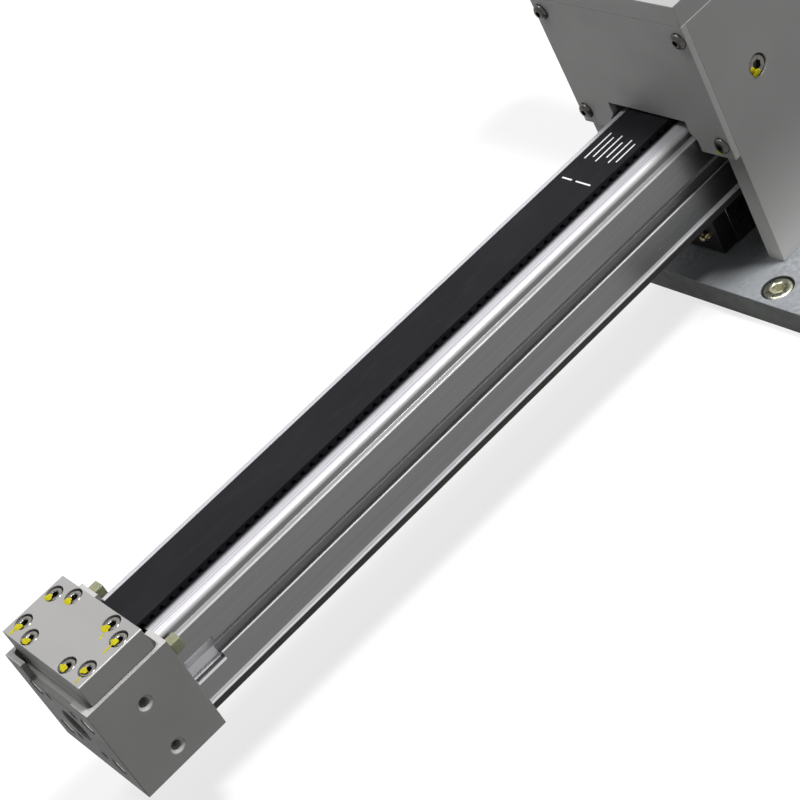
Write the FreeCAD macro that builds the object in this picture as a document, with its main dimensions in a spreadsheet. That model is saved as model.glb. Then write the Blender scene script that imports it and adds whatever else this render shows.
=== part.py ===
"""Belt-driven cantilever linear axis: a moving aluminium rail runs through a fixed drive head.

The rail hangs over both ends of the head on one guide rail and two runner blocks.
A toothed belt lies on the rail, is clamped in an end block at each end, and rises
inside the head round a toothed pulley between two idler rollers.

Frame: +X along the rail towards the rear end block, +Y to the left (motor side), +Z up.
Origin: centre of the base plate's underside. Lengths are in millimetres.
"""

import FreeCAD, Part
import math
import os
import re

import Sketcher
from FreeCAD import Rotation, Vector

NODE_FOLDER = "parts"

# Driving sizes, one spreadsheet row each
SIZES = {
    # base plate
    "base_length": 176,
    "base_width": 160,
    "base_thick": 12,
    "base_hole_x": 78,
    "base_hole_y": 54,
    "base_slack": 1.2,
    # head casing
    "head_depth": 128,
    "head_width": 92,
    "side_thick": 9,
    "side_height": 125,
    "top_thick": 10,
    "cover_thick": 3,
    "cover_height": 67,
    "notch_width": 52.8,
    "notch_neck": 46.8,
    "notch_height": 15,
    "notch_flare_top": 9,
    "notch_flare_low": 5.5,
    "side_screw_x": 48,
    "top_screw_x": 50,
    "cover_screw_low": 7,
    "cover_screw_high": 60,
    # moving profile
    "profile_length": 500,
    "front_reach": 369,
    "profile_width": 50,
    "profile_height": 41,
    "profile_chamfer": 1.8,
    "groove_height": 3,
    "groove_depth": 0.3,
    "slot_low": 16.7,
    "slot_open": 6.8,
    "slot_lip": 2,
    "slot_inner": 12.4,
    "slot_depth": 7,
    "slot_edge": 0.5,
    "slot_taper": 1.2,
    "entry_start": 1.6,
    "entry_length": 14.4,
    "entry_height": 11.4,
    "lip_height": 37,
    "lip_width": 2.4,
    "shoulder_rise": 0.4,
    "shoulder_radius": 5.1,
    "shoulder_start": 14.2,
    "chamber_half": 14.6,
    "chamber_wall": 2,
    "channel_y": 19.6,
    "channel_low": 7.2,
    "channel_high": 31.4,
    "channel_radius": 2,
    # guide
    "runner_height": 28,
    "rail_recess": 1,
    "rail_width": 15,
    "rail_height": 14,
    "rail_groove": 1.6,
    "rail_hole_pitch": 60,
    "runner_width": 34,
    "runner_body": 23.7,
    "runner_length": 39,
    "runner_cap": 8.5,
    "runner_cap_inset": 0.6,
    "runner_x": 42,
    "runner_screw_x": 13,
    "runner_screw_y": 13,
    "slide_gap": 0.25,
    "nipple_radius": 2.2,
    "nipple_length": 4,
    "nipple_y": 10,
    "nipple_rise": 10,
    # belt
    "belt_width": 25,
    "belt_pitch": 5,
    "belt_tooth": 2,
    "belt_back": 1.4,
    "belt_tooth_root": 3.1,
    "belt_tooth_tip": 2,
    "belt_gap": 0.1,
    # drive
    "pulley_teeth": 30,
    "pitch_drop": 0.57,
    "roll_gap": 0.3,
    "run_height": 10.2,
    "pulley_width": 27,
    "flange_radius": 26,
    "flange_thick": 1.5,
    "flange_bore": 17,
    "hub_radius": 11,
    "shaft_radius": 7.5,
    "shaft_reach": 14.5,
    "key_width": 5,
    "key_length": 24,
    "bearing_radius": 14,
    "bearing_width": 7,
    "fit_gap": 0.03,
    "side_gap": 0.3,
    "idler_radius": 14,
    "idler_width": 30,
    "idler_pin_radius": 5,
    "needle_radius": 7,
    "needle_length": 12,
    # coupling and motor
    "adapter_width": 88,
    "adapter_height": 57,
    "adapter_flange": 8,
    "adapter_length": 36,
    "adapter_bore": 17,
    "adapter_screw_x": 36,
    "adapter_screw_z": 22,
    "adapter_seat": 3,
    "pilot_radius": 15,
    "pilot_depth": 1.6,
    "coupling_radius": 15,
    "coupling_hub": 13,
    "coupling_gap": 4,
    "jaw_width": 8,
    "motor_width": 40,
    "motor_bell": 6,
    "motor_stack": 56,
    "motor_cap": 16,
    "motor_corner": 3,
    "motor_screw_pitch": 32.5,
    "motor_shaft_radius": 4,
    "connector_length": 14,
    "connector_height": 9,
    # end blocks and belt clamps
    "block_length": 40,
    "block_width": 63,
    "block_height": 48,
    "block_drop": 3.8,
    "pocket_depth": 8,
    "pocket_rim": 2,
    "pocket_wall": 2.6,
    "pocket_corner": 3,
    "gap_width": 38,
    "end_bore_radius": 8,
    "end_bore_depth": 10,
    "tool_hole_y": 9.5,
    "tool_hole_z": 12,
    "tool_hole_radius": 2.1,
    "tool_hole_depth": 12,
    "tool_hole_drop": 24.2,
    "flank_hole_radius": 2.5,
    "flank_hole_depth": 9,
    "flank_hole_high": 33.8,
    "flank_hole_pitch": 25.3,
    "flank_chamfer": 0.7,
    "clamp_length": 31,
    "clamp_width": 58.6,
    "clamp_thick": 11.5,
    "clamp_inner_x": 11.1,
    "clamp_inner_y": 14.4,
    "clamp_outer_x": 7.8,
    "clamp_outer_y": 24.3,
    "clamp_grip": 30,
    "channel_gap": 0.2,
    "pad_thick": 5,
    "pad_width": 5.6,
    "pad_height": 7.5,
    "pad_drop": 1.2,
    # screws: radius of the thread, head and counterbore, and the head's height
    "screw_clear": 0.25,
    "four_radius": 2,
    "four_head": 3.5,
    "four_high": 4,
    "four_sink": 4.4,
    "four_bore": 4,
    "button_head": 3.8,
    "button_high": 2.2,
    "five_radius": 2.5,
    "five_head": 4.25,
    "five_high": 5,
    "five_sink": 5.3,
    "five_bore": 4.8,
    "six_radius": 3,
    "six_head": 5,
    "six_high": 6,
    "six_sink": 6.5,
    "six_bore": 5.5,
    "eight_radius": 4,
    "eight_head": 6.5,
    "eight_high": 8,
    "eight_sink": 8.4,
    "eight_bore": 7.4,
    "base_screw_length": 15.6,
    "side_screw_length": 18,
    "top_screw_length": 15,
    "cover_screw_length": 11,
    "pin_screw_length": 12,
    "runner_screw_length": 13,
    "adapter_screw_length": 13,
    "motor_screw_length": 14,
    "rail_screw_length": 5,
    "block_screw_length": 44,
    "clamp_screw_length": 18,
}

# Places that follow from the sizes, as formulas of sizes and of other places
PLACES = {
    "head_half": "head_depth / 2",
    "side_out": "head_width / 2",
    "side_in": "side_out - side_thick",
    "side_mid": "side_out - side_thick / 2",
    "side_top": "base_thick + side_height",
    "head_face": "head_half + cover_thick",
    "cover_low": "side_top - cover_height",
    "rail_seat": "base_thick + runner_height",
    "profile_base": "rail_seat - rail_recess",
    "profile_half": "profile_width / 2",
    "rail_base": "rail_seat - rail_height",
    "bed": "profile_base + profile_height",
    "belt_tip": "bed + belt_gap",
    "belt_land": "belt_tip + belt_tooth",
    "belt_top": "belt_land + belt_back",
    "rail_front": "0 - front_reach",
    "rail_rear": "profile_length - front_reach",
    "block_base": "profile_base - block_drop",
    "block_top": "block_base + block_height",
    "block_half": "block_width / 2",
    "pocket_floor": "block_top - pocket_depth",
    "pitch_radius": "pulley_teeth * belt_pitch / (2 * pi)",
    "pulley_radius": "pitch_radius - pitch_drop",
    "land_radius": "pulley_radius + roll_gap",
    "back_radius": "land_radius + belt_back",
    "idler_x": "back_radius + roll_gap + idler_radius",
    "idler_z": "belt_top + roll_gap + idler_radius",
    "pulley_z": "idler_z + run_height",
    "bearing_in": "side_in + bearing_width",
    "shaft_end": "side_out + shaft_reach",
    "hub_start": "shaft_end - coupling_hub + 0.5",
    "hub_end": "hub_start + coupling_hub",
    "motor_hub": "hub_end + coupling_gap",
    "motor_hub_end": "motor_hub + coupling_hub",
    "motor_face": "side_out + adapter_length",
    "bell_end": "motor_face + motor_bell",
    "stack_end": "bell_end + motor_stack",
    "motor_end": "stack_end + motor_cap",
    "slot_high": "slot_low + slot_open",
    "slot_mid": "slot_low + slot_open / 2",
    "cap_outer": "runner_x + runner_length / 2 + runner_cap",
}

WORD = re.compile(r"[a-z_]+")


def bound(formula):
    """Write a formula of sizes and places as an expression on the spreadsheet's cells."""

    def cell(match):
        word = match.group(0)
        if word in PLACES:
            return "(" + bound(PLACES[word]) + ")"
        if word in SIZES:
            return "sizes." + word
        return word

    return WORD.sub(cell, str(formula))


doc = FreeCAD.newDocument("linear_axis")
sheet = doc.addObject("Spreadsheet::Sheet", "sizes")
for row, (alias, number) in enumerate(SIZES.items(), start=1):
    sheet.set(f"A{row}", alias)
    sheet.set(f"B{row}", str(number))
    sheet.setAlias(f"B{row}", alias)
doc.recompute()

nodes = []


def value(formula):
    """The number, in millimetres, that a formula stands for."""
    return float(sheet.evalExpression(bound(formula)))


def sub_part(feature, node):
    """Name a finished object as one sub-part of the axis."""
    feature.Label = node
    nodes.append(feature)
    return feature


def place(feature, x="0", y="0", z="0"):
    """Bind a feature's position to three formulas."""
    for axis, formula in zip("xyz", (x, y, z)):
        feature.setExpression(f".Placement.Base.{axis}", bound(formula))
    return feature


# Sketches

NORMAL_SIGN = {"XY_Plane": 1, "XZ_Plane": -1, "YZ_Plane": 1}


def circle(x, y, radius):
    """One round loop of a sketch."""
    return ("circle", x, y, radius)


def box_loop(x_low, y_low, x_high, y_high):
    """One rectangular loop of a sketch."""
    return [(x_low, y_low), (x_high, y_low), (x_high, y_high), (x_low, y_high)]


def arc_centre(start, end, radius):
    """Centre of an arc that turns left from start to end if its radius is positive."""
    chord = end - start
    height = math.sqrt(max(radius * radius - chord.Length**2 / 4, 0))
    left = Vector(-chord.y, chord.x, 0).normalize()
    return (start + end) / 2 + left * (height if radius > 0 else -height)


def add_outline(sketch, corners):
    """Draw a closed outline whose corners, and arc radii, follow formulas."""
    first = sketch.GeometryCount
    points = [Vector(value(corner[0]), value(corner[1]), 0) for corner in corners]
    ends = []
    for index, corner in enumerate(corners):
        start, end = points[index], points[(index + 1) % len(points)]
        number = first + index
        if len(corner) == 2:
            sketch.addGeometry(Part.LineSegment(start, end), False)
            ends.append(((number, 1), (number, 2)))
            continue
        radius = value(corner[2])
        centre = arc_centre(start, end, radius)
        rim = Part.Circle(centre, Vector(0, 0, 1), abs(radius))
        turn_start = math.atan2(start.y - centre.y, start.x - centre.x)
        turn_end = math.atan2(end.y - centre.y, end.x - centre.x)
        if radius > 0:
            sketch.addGeometry(Part.ArcOfCircle(rim, turn_start, turn_end), False)
            ends.append(((number, 1), (number, 2)))
        else:
            sketch.addGeometry(Part.ArcOfCircle(rim, turn_end, turn_start), False)
            ends.append(((number, 2), (number, 1)))
    for index, corner in enumerate(corners):
        following = ends[(index + 1) % len(ends)][0]
        sketch.addConstraint(Sketcher.Constraint("Coincident", *ends[index][1], *following))
        for kind, formula in (("DistanceX", corner[0]), ("DistanceY", corner[1])):
            constraint = Sketcher.Constraint(kind, -1, 1, *ends[index][0], value(formula))
            number = sketch.addConstraint(constraint)
            sketch.setExpression(f"Constraints[{number}]", bound(formula))
        if len(corner) == 3:
            constraint = Sketcher.Constraint("Radius", first + index, abs(value(corner[2])))
            number = sketch.addConstraint(constraint)
            sketch.setExpression(f"Constraints[{number}]", bound(f"abs({corner[2]})"))


def add_circle(sketch, x, y, radius):
    """Draw a circle whose centre and radius follow formulas."""
    centre = Vector(value(x), value(y), 0)
    number = sketch.addGeometry(Part.Circle(centre, Vector(0, 0, 1), value(radius)), False)
    for constraint, formula in (
        (Sketcher.Constraint("DistanceX", -1, 1, number, 3, value(x)), x),
        (Sketcher.Constraint("DistanceY", -1, 1, number, 3, value(y)), y),
        (Sketcher.Constraint("Radius", number, value(radius)), radius),
    ):
        index = sketch.addConstraint(constraint)
        sketch.setExpression(f"Constraints[{index}]", bound(formula))


def add_sketch(body, plane, height, loops):
    """Put closed loops on one of the body's origin planes, raised to a formula's height."""
    sketch = body.newObject("Sketcher::SketchObject", body.Name + "_sketch")
    support = [item for item in body.Origin.OriginFeatures if item.Role == plane][0]
    sketch.AttachmentSupport = (support, [""])
    sketch.MapMode = "FlatFace"
    sign = "" if NORMAL_SIGN[plane] > 0 else "0 - "
    sketch.setExpression(".AttachmentOffset.Base.z", bound(f"{sign}({height})"))
    for loop in loops:
        if loop[0] == "circle":
            add_circle(sketch, *loop[1:])
        else:
            add_outline(sketch, loop)
    return sketch


def new_body(name):
    """Start a PartDesign body."""
    return doc.addObject("PartDesign::Body", name)


def pad(body, plane, height, loops, length):
    """Raise loops from a height towards the plane's positive axis."""
    feature = body.newObject("PartDesign::Pad", body.Name + "_pad")
    feature.Profile = add_sketch(body, plane, height, loops)
    feature.setExpression("Length", bound(length))
    feature.Reversed = NORMAL_SIGN[plane] < 0
    return feature


def pocket(body, plane, height, loops, depth, towards):
    """Sink loops from a height, towards the positive or the negative axis."""
    feature = body.newObject("PartDesign::Pocket", body.Name + "_pocket")
    feature.Profile = add_sketch(body, plane, height, loops)
    feature.setExpression("Length", bound(depth))
    feature.Reversed = (towards > 0) == (NORMAL_SIGN[plane] > 0)
    return feature


def repeat(body, feature, towards, count, spacing):
    """Repeat a feature along its sketch's horizontal axis."""
    row = body.newObject("PartDesign::LinearPattern", body.Name + "_row")
    row.Originals = [feature]
    row.Direction = (feature.Profile[0], ["H_Axis"])
    row.Reversed = towards < 0
    row.setExpression("Length", bound(f"({count} - 1) * ({spacing})"))
    row.setExpression("Occurrences", bound(count))
    body.Tip = row


def turned(node, outline, x="0", z="0"):
    """Turn an outline, given as radius and place along Y, about a line parallel to Y."""
    body = new_body(node)
    feature = body.newObject("PartDesign::Revolution", node + "_turn")
    sketch = add_sketch(body, "XY_Plane", "0", [outline])
    feature.Profile = sketch
    feature.ReferenceAxis = (sketch, ["V_Axis"])
    feature.Angle = 360
    place(body, x, "0", z)
    return sub_part(body, node)


def corners_of(x, y):
    """The four sign combinations of a rectangular pattern."""
    return [(f"{a}{x}", f"{b}{y}") for a in ("", "-") for b in ("", "-")]


# Screws

TURNS = {
    "+z": Rotation(),
    "-z": Rotation(Vector(1, 0, 0), 180),
    "+x": Rotation(Vector(0, 1, 0), 90),
    "-x": Rotation(Vector(0, 1, 0), -90),
    "+y": Rotation(Vector(1, 0, 0), -90),
    "-y": Rotation(Vector(1, 0, 0), 90),
}


def screw(name, seat, head_towards, sizes, shank_length):
    """One cap screw: a head that sits on its seat, and a shank the other way."""
    shank_radius, head_radius, head_height = sizes
    head = doc.addObject("Part::Cylinder", name + "_head")
    head.setExpression("Radius", bound(head_radius))
    head.setExpression("Height", bound(head_height))
    head.Placement.Rotation = TURNS[head_towards]
    place(head, *seat)
    shank = doc.addObject("Part::Cylinder", name + "_shank")
    shank.setExpression("Radius", bound(shank_radius))
    shank.setExpression("Height", bound(shank_length))
    opposite = {"+": "-", "-": "+"}[head_towards[0]] + head_towards[1]
    shank.Placement.Rotation = TURNS[opposite]
    place(shank, *seat)
    whole = doc.addObject("Part::Fuse", name)
    whole.Base = head
    whole.Tool = shank
    return whole


FOUR = ("four_radius", "four_head", "four_high")
FIVE = ("five_radius", "five_head", "five_high")
SIX = ("six_radius", "six_head", "six_high")
EIGHT = ("eight_radius", "eight_head", "eight_high")
BUTTON = ("four_radius", "button_head", "button_high")


def screw_group(node, seats, towards, sizes, length):
    """Like screws in one sub-part. A seat is the point under the head's centre."""
    if isinstance(towards, str):
        towards = [towards] * len(seats)
    group = doc.addObject("Part::Compound", node)
    group.Links = [
        screw(f"{node}_{number}", seat, side, sizes, length)
        for number, (seat, side) in enumerate(zip(seats, towards), start=1)
    ]
    return sub_part(group, node)


def group_of(node, features):
    """Like pieces in one sub-part."""
    group = doc.addObject("Part::Compound", node)
    group.Links = features
    return sub_part(group, node)


def block(name, length, width, height, x, y, z):
    """A plain block bound to formulas, placed by its lowest corner."""
    feature = doc.addObject("Part::Box", name)
    feature.setExpression("Length", bound(length))
    feature.setExpression("Width", bound(width))
    feature.setExpression("Height", bound(height))
    return place(feature, x, y, z)


# Base plate and head casing

RUNNER_SEATS = [
    (f"{end}runner_x + {a}runner_screw_x", f"{b}runner_screw_y")
    for end in ("", "-")
    for a in ("", "-")
    for b in ("", "-")
]
SIDE_SEATS = corners_of("side_screw_x", "(side_mid)")
BASE_SEATS = corners_of("base_hole_x", "base_hole_y")
TOP_SEATS = corners_of("top_screw_x", "(side_mid)")


def base_plate():
    """Ground steel plate with counterbored mounting holes and hidden screws from below."""
    body = new_body("base_plate")
    half = ("base_length / 2", "base_width / 2")
    outline = box_loop(f"-{half[0]}", f"-{half[1]}", *half)
    pad(body, "XY_Plane", "0", [outline], "base_thick")
    holes = [circle(x, y, "eight_radius + base_slack") for x, y in BASE_SEATS]
    holes += [circle(x, y, "six_radius + screw_clear") for x, y in SIDE_SEATS]
    holes += [circle(x, y, "four_radius + screw_clear") for x, y in RUNNER_SEATS]
    pocket(body, "XY_Plane", "base_thick", holes, "base_thick", -1)
    sinks = [circle(x, y, "eight_bore") for x, y in BASE_SEATS]
    pocket(body, "XY_Plane", "base_thick", sinks, "eight_sink", -1)
    sinks = [circle(x, y, "six_bore") for x, y in SIDE_SEATS]
    pocket(body, "XY_Plane", "0", sinks, "six_sink", 1)
    sinks = [circle(x, y, "four_bore") for x, y in RUNNER_SEATS]
    pocket(body, "XY_Plane", "0", sinks, "four_sink", 1)
    sub_part(body, "base_plate")


def side_plate(node, side):
    """Thick side plate. It carries an idler pin at each end and the pulley bearing."""
    sign = "" if side > 0 else "-"
    low = "side_in" if side > 0 else "-side_out"
    outer = f"{sign}side_out"
    inner = f"{sign}side_in"
    body = new_body(node)
    outline = box_loop("-head_half", "base_thick", "head_half", "side_top")
    pad(body, "XZ_Plane", low, [outline], "side_thick")
    pins = [circle(f"{end}idler_x", "idler_z", "five_radius + screw_clear") for end in ("", "-")]
    pocket(body, "XZ_Plane", outer, pins, "side_thick", -side)
    sinks = [circle(f"{end}idler_x", "idler_z", "five_bore") for end in ("", "-")]
    pocket(body, "XZ_Plane", outer, sinks, "five_sink", -side)
    seat = [circle("0", "pulley_z", "bearing_radius")]
    pocket(body, "XZ_Plane", inner, seat, "bearing_width", side)
    middle = f"{sign}(side_mid)"
    for x in ("side_screw_x", "-side_screw_x"):
        hole = [circle(x, middle, "six_radius")]
        pocket(body, "XY_Plane", "base_thick", hole, "side_screw_length - base_thick + six_sink + 1", 1)
    for x in ("top_screw_x", "-top_screw_x"):
        hole = [circle(x, middle, "five_radius")]
        depth = "top_screw_length - top_thick + five_sink + 1"
        pocket(body, "XY_Plane", "side_top", hole, depth, -1)
    for end in (1, -1):
        edge = "head_half" if end > 0 else "-head_half"
        holes = [
            circle(middle, "cover_low + cover_screw_low", "four_radius"),
            circle(middle, "cover_low + cover_screw_high", "four_radius"),
        ]
        pocket(body, "YZ_Plane", edge, holes, "cover_screw_length - cover_thick + 1", -end)
    if side > 0:
        hole = [circle("0", "pulley_z", "shaft_radius + 1.5")]
        pocket(body, "XZ_Plane", outer, hole, "side_thick", -side)
        taps = [
            circle(x, f"pulley_z + {z}", "five_radius")
            for x, z in corners_of("adapter_screw_x", "adapter_screw_z")
        ]
        pocket(body, "XZ_Plane", outer, taps, "side_thick", -side)
    sub_part(body, node)


def top_plate():
    """Lid over the side plates and both covers."""
    body = new_body("top_plate")
    outline = box_loop("-head_face", "-side_out", "head_face", "side_out")
    pad(body, "XY_Plane", "side_top", [outline], "top_thick")
    top = "side_top + top_thick"
    holes = [circle(x, y, "five_radius + screw_clear") for x, y in TOP_SEATS]
    pocket(body, "XY_Plane", top, holes, "top_thick", -1)
    sinks = [circle(x, y, "five_bore") for x, y in TOP_SEATS]
    pocket(body, "XY_Plane", top, sinks, "five_sink", -1)
    sub_part(body, "top_plate")


def cover(node, end):
    """Thin end cover whose notch lets the rail and the belt through."""
    low = "head_half" if end > 0 else "-head_face"
    neck, wide = "notch_neck / 2", "notch_width / 2"
    outline = [
        ("-side_out", "cover_low"),
        (f"-{wide}", "cover_low"),
        (f"-{wide}", "cover_low + notch_flare_low"),
        (f"-{neck}", "cover_low + notch_flare_top"),
        (f"-{neck}", "cover_low + notch_height"),
        (neck, "cover_low + notch_height"),
        (neck, "cover_low + notch_flare_top"),
        (wide, "cover_low + notch_flare_low"),
        (wide, "cover_low"),
        ("side_out", "cover_low"),
        ("side_out", "side_top"),
        ("-side_out", "side_top"),
    ]
    body = new_body(node)
    pad(body, "YZ_Plane", low, [outline], "cover_thick")
    holes = [
        circle(f"{side}(side_mid)", f"cover_low + {height}", "four_radius + screw_clear")
        for side in ("", "-")
        for height in ("cover_screw_low", "cover_screw_high")
    ]
    pocket(body, "YZ_Plane", low, holes, "cover_thick", 1)
    sub_part(body, node)


def casing_screws():
    """Every screw that holds the head together or down."""
    seats = [(x, y, "base_thick - eight_sink") for x, y in BASE_SEATS]
    screw_group("base_screws", seats, "+z", EIGHT, "base_screw_length")
    seats = [(x, y, "six_sink") for x, y in SIDE_SEATS]
    screw_group("side_plate_screws", seats, "-z", SIX, "side_screw_length")
    seats = [(x, y, "side_top + top_thick - five_sink") for x, y in TOP_SEATS]
    screw_group("top_plate_screws", seats, "+z", FIVE, "top_screw_length")
    places = [
        (f"{side}(side_mid)", f"cover_low + {height}")
        for side in ("", "-")
        for height in ("cover_screw_low", "cover_screw_high")
    ]
    seats = [(f"{end}head_face", y, z) for end in ("", "-") for y, z in places]
    sides = ["+x"] * len(places) + ["-x"] * len(places)
    screw_group("cover_screws", seats, sides, BUTTON, "cover_screw_length")
    seats = []
    sides = []
    for end in ("", "-"):
        for side in ("", "-"):
            seats.append((f"{end}idler_x", f"{side}(side_out - five_sink)", "idler_z"))
            sides.append("+y" if side == "" else "-y")
    screw_group("idler_pin_screws", seats, sides, FIVE, "pin_screw_length")


# Guide

def runner_outline(inset):
    """Section of a runner block: a block with a channel for the guide rail."""
    half = f"runner_width / 2 - {inset}"
    channel = "rail_width / 2 + slide_gap"
    low = f"base_thick + {inset}"
    top = f"base_thick + runner_body - {inset}"
    floor = "rail_base - slide_gap * 2"
    return [
        (f"-({half})", low),
        (half, low),
        (half, f"{top} - 3"),
        (f"{half} - 2", top),
        (channel, top),
        (channel, floor),
        (f"-({channel})", floor),
        (f"-({channel})", top),
        (f"-({half} - 2)", top),
        (f"-({half})", f"{top} - 3"),
    ]


def runner(end, name):
    """Steel runner block with a black cap at each end, and its grease nipple."""
    sign = "" if end > 0 else "-"
    middle = f"{sign}runner_x"
    body = new_body(f"runner_block_{name}")
    start = f"{middle} - runner_length / 2"
    pad(body, "YZ_Plane", start, [runner_outline("0")], "runner_length")
    taps = [
        circle(f"{middle} + {a}runner_screw_x", f"{b}runner_screw_y", "four_radius")
        for a in ("", "-")
        for b in ("", "-")
    ]
    depth = "runner_screw_length - base_thick + four_sink + 1"
    pocket(body, "XY_Plane", "base_thick", taps, depth, 1)
    sub_part(body, f"runner_block_{name}")
    caps = []
    for number, low in enumerate((f"{start} - runner_cap", f"{middle} + runner_length / 2")):
        cap = new_body(f"runner_cap_{name}_{number}")
        pad(cap, "YZ_Plane", low, [runner_outline("runner_cap_inset")], "runner_cap")
        caps.append(cap)
    group_of(f"runner_caps_{name}", caps)


def grease_nipples():
    """A brass nipple on the outer cap of each runner block."""
    pieces = []
    for name, sign, turn in (("rear", "", "+x"), ("front", "-", "-x")):
        collar = doc.addObject("Part::Cylinder", f"nipple_collar_{name}")
        collar.setExpression("Radius", bound("nipple_radius"))
        collar.setExpression("Height", bound("nipple_length / 2"))
        tip = doc.addObject("Part::Cone", f"nipple_tip_{name}")
        tip.setExpression("Radius1", bound("nipple_radius * 0.7"))
        tip.setExpression("Radius2", bound("nipple_radius * 0.5"))
        tip.setExpression("Height", bound("nipple_length"))
        for piece in (collar, tip):
            piece.Placement.Rotation = TURNS[turn]
            place(piece, f"{sign}cap_outer", "-nipple_y", "base_thick + nipple_rise")
        whole = doc.addObject("Part::Fuse", f"nipple_{name}")
        whole.Base = collar
        whole.Tool = tip
        pieces.append(whole)
    group_of("grease_nipples", pieces)


def runner_screws():
    """Screws from under the base plate into the runner blocks."""
    seats = [(x, y, "four_sink") for x, y in RUNNER_SEATS]
    screw_group("runner_screws", seats, "-z", FOUR, "runner_screw_length")


RAIL_HOLES = "floor((profile_length - rail_hole_pitch / 2) / rail_hole_pitch) + 1"


def rail_holes(body, height, radius, depth):
    """A row of holes upwards, where the guide rail is screwed to the profile."""
    first = [circle("rail_front + rail_hole_pitch / 3", "0", radius)]
    hole = pocket(body, "XY_Plane", height, first, depth, 1)
    repeat(body, hole, 1, RAIL_HOLES, "rail_hole_pitch")


def guide_rail():
    """Hardened steel rail with a ball groove in each flank, hung under the profile."""
    half = "rail_width / 2"
    outline = [
        (f"-{half}", "rail_seat"),
        (f"-{half}", "rail_seat - 4"),
        (f"-{half} + rail_groove", "rail_seat - 5.5"),
        (f"-{half} + rail_groove", "rail_base + 4.5"),
        (f"-{half}", "rail_base + 3"),
        (f"-{half}", "rail_base + 0.8"),
        (f"-{half} + 0.8", "rail_base"),
        (f"{half} - 0.8", "rail_base"),
        (half, "rail_base + 0.8"),
        (half, "rail_base + 3"),
        (f"{half} - rail_groove", "rail_base + 4.5"),
        (f"{half} - rail_groove", "rail_seat - 5.5"),
        (half, "rail_seat - 4"),
        (half, "rail_seat"),
    ]
    body = new_body("guide_rail")
    pad(body, "YZ_Plane", "rail_front", [outline], "profile_length")
    rail_holes(body, "rail_base", "four_radius + screw_clear", "rail_height")
    rail_holes(body, "rail_base", "four_bore", "rail_height / 2")
    sub_part(body, "guide_rail")
    seats = [
        (f"rail_front + rail_hole_pitch * ({number} + 1 / 3)", "0", "rail_base + rail_height / 2")
        for number in range(int(value(RAIL_HOLES)))
    ]
    length = "rail_height / 2 + rail_screw_length"
    screw_group("guide_rail_screws", seats, "-z", FOUR, length)


# Moving profile

def profile():
    """Extruded aluminium profile: belt bed between round shoulders, slots and screw channels."""
    half = "profile_half"
    recess = "rail_width / 2 + 0.2"
    slot_floor = f"{half} - slot_depth"
    spread = "(slot_inner - slot_open) / 2"
    valley = f"{half} - lip_width - 0.3"
    crown = "profile_height + shoulder_rise"
    right = [
        (recess, "rail_recess"),
        (recess, "0"),
        (f"{half} - profile_chamfer", "0"),
        (half, "profile_chamfer"),
        (half, "groove_height - groove_depth"),
        (f"{half} - groove_depth", "groove_height"),
        (half, "groove_height + groove_depth"),
        (half, "slot_low - slot_edge"),
        (f"{half} - slot_edge", "slot_low"),
        (f"{half} - slot_lip", "slot_low"),
        (f"{half} - slot_lip - slot_taper", f"slot_low - {spread}"),
        (f"{slot_floor} + 2", f"slot_low - {spread}"),
        (slot_floor, "slot_low"),
        (slot_floor, "slot_high"),
        (f"{slot_floor} + 2", f"slot_high + {spread}"),
        (f"{half} - slot_lip - slot_taper", f"slot_high + {spread}"),
        (f"{half} - slot_lip", "slot_high"),
        (f"{half} - slot_edge", "slot_high"),
        (half, "slot_high + slot_edge"),
        (half, "lip_height - 0.5"),
        (f"{half} - 0.4", "lip_height"),
        (f"{half} - lip_width", "lip_height + 0.3"),
        (valley, "lip_height + 0.6", "shoulder_radius"),
        ("shoulder_start + 3.2", crown),
        ("shoulder_start + 0.4", crown),
        ("shoulder_start", "profile_height"),
    ]
    left = []
    for index in range(len(right) - 1, -1, -1):
        corner = right[index]
        mirrored = (f"-({corner[0]})", corner[1])
        if index > 0 and len(right[index - 1]) == 3:
            mirrored += (right[index - 1][2],)
        left.append(mirrored)
    outline = [(f"({corner[0]})",) + corner[1:] for corner in right] + left
    chamber = "chamber_half"
    deck = "slot_low - 1.2"
    roof = "slot_high + 1.8"
    loops = [
        outline,
        box_loop(f"-{chamber}", "rail_recess + chamber_wall * 2", chamber, deck),
        box_loop(f"-{chamber}", f"{deck} + chamber_wall", chamber, roof),
        box_loop(f"-{chamber}", f"{roof} + chamber_wall", chamber, "profile_height - 3.4"),
    ]
    for height in ("channel_low", "channel_high"):
        loops.append(circle("channel_y", height, "channel_radius"))
        loops.append(circle("-channel_y", height, "channel_radius"))
    body = new_body("rail_profile")
    pad(body, "YZ_Plane", "rail_front", loops, "profile_length")
    rail_holes(body, "rail_recess", "four_radius", "chamber_wall * 2")
    slot_middle = "(slot_low + slot_open / 2)"
    low, high = f"{slot_middle} - entry_height / 2", f"{slot_middle} + entry_height / 2"
    front = ("rail_front + entry_start", "rail_front + entry_start + entry_length")
    rear = ("rail_rear - entry_start - entry_length", "rail_rear - entry_start")
    entries = [box_loop(start, low, stop, high) for start, stop in (front, rear)]
    for side, flank in ((1, "profile_half"), (-1, "-profile_half")):
        pocket(body, "XZ_Plane", flank, entries, "slot_lip + slot_taper", -side)
    place(body, "0", "0", "profile_base")
    sub_part(body, "rail_profile")


# End blocks and belt clamps

CLAMP_SEATS = corners_of("clamp_inner_x", "clamp_inner_y") + corners_of("clamp_outer_x", "clamp_outer_y")
CHANNELS = [
    (f"{side}channel_y", f"profile_base + {height}")
    for side in ("", "-")
    for height in ("channel_low", "channel_high")
]


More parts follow.
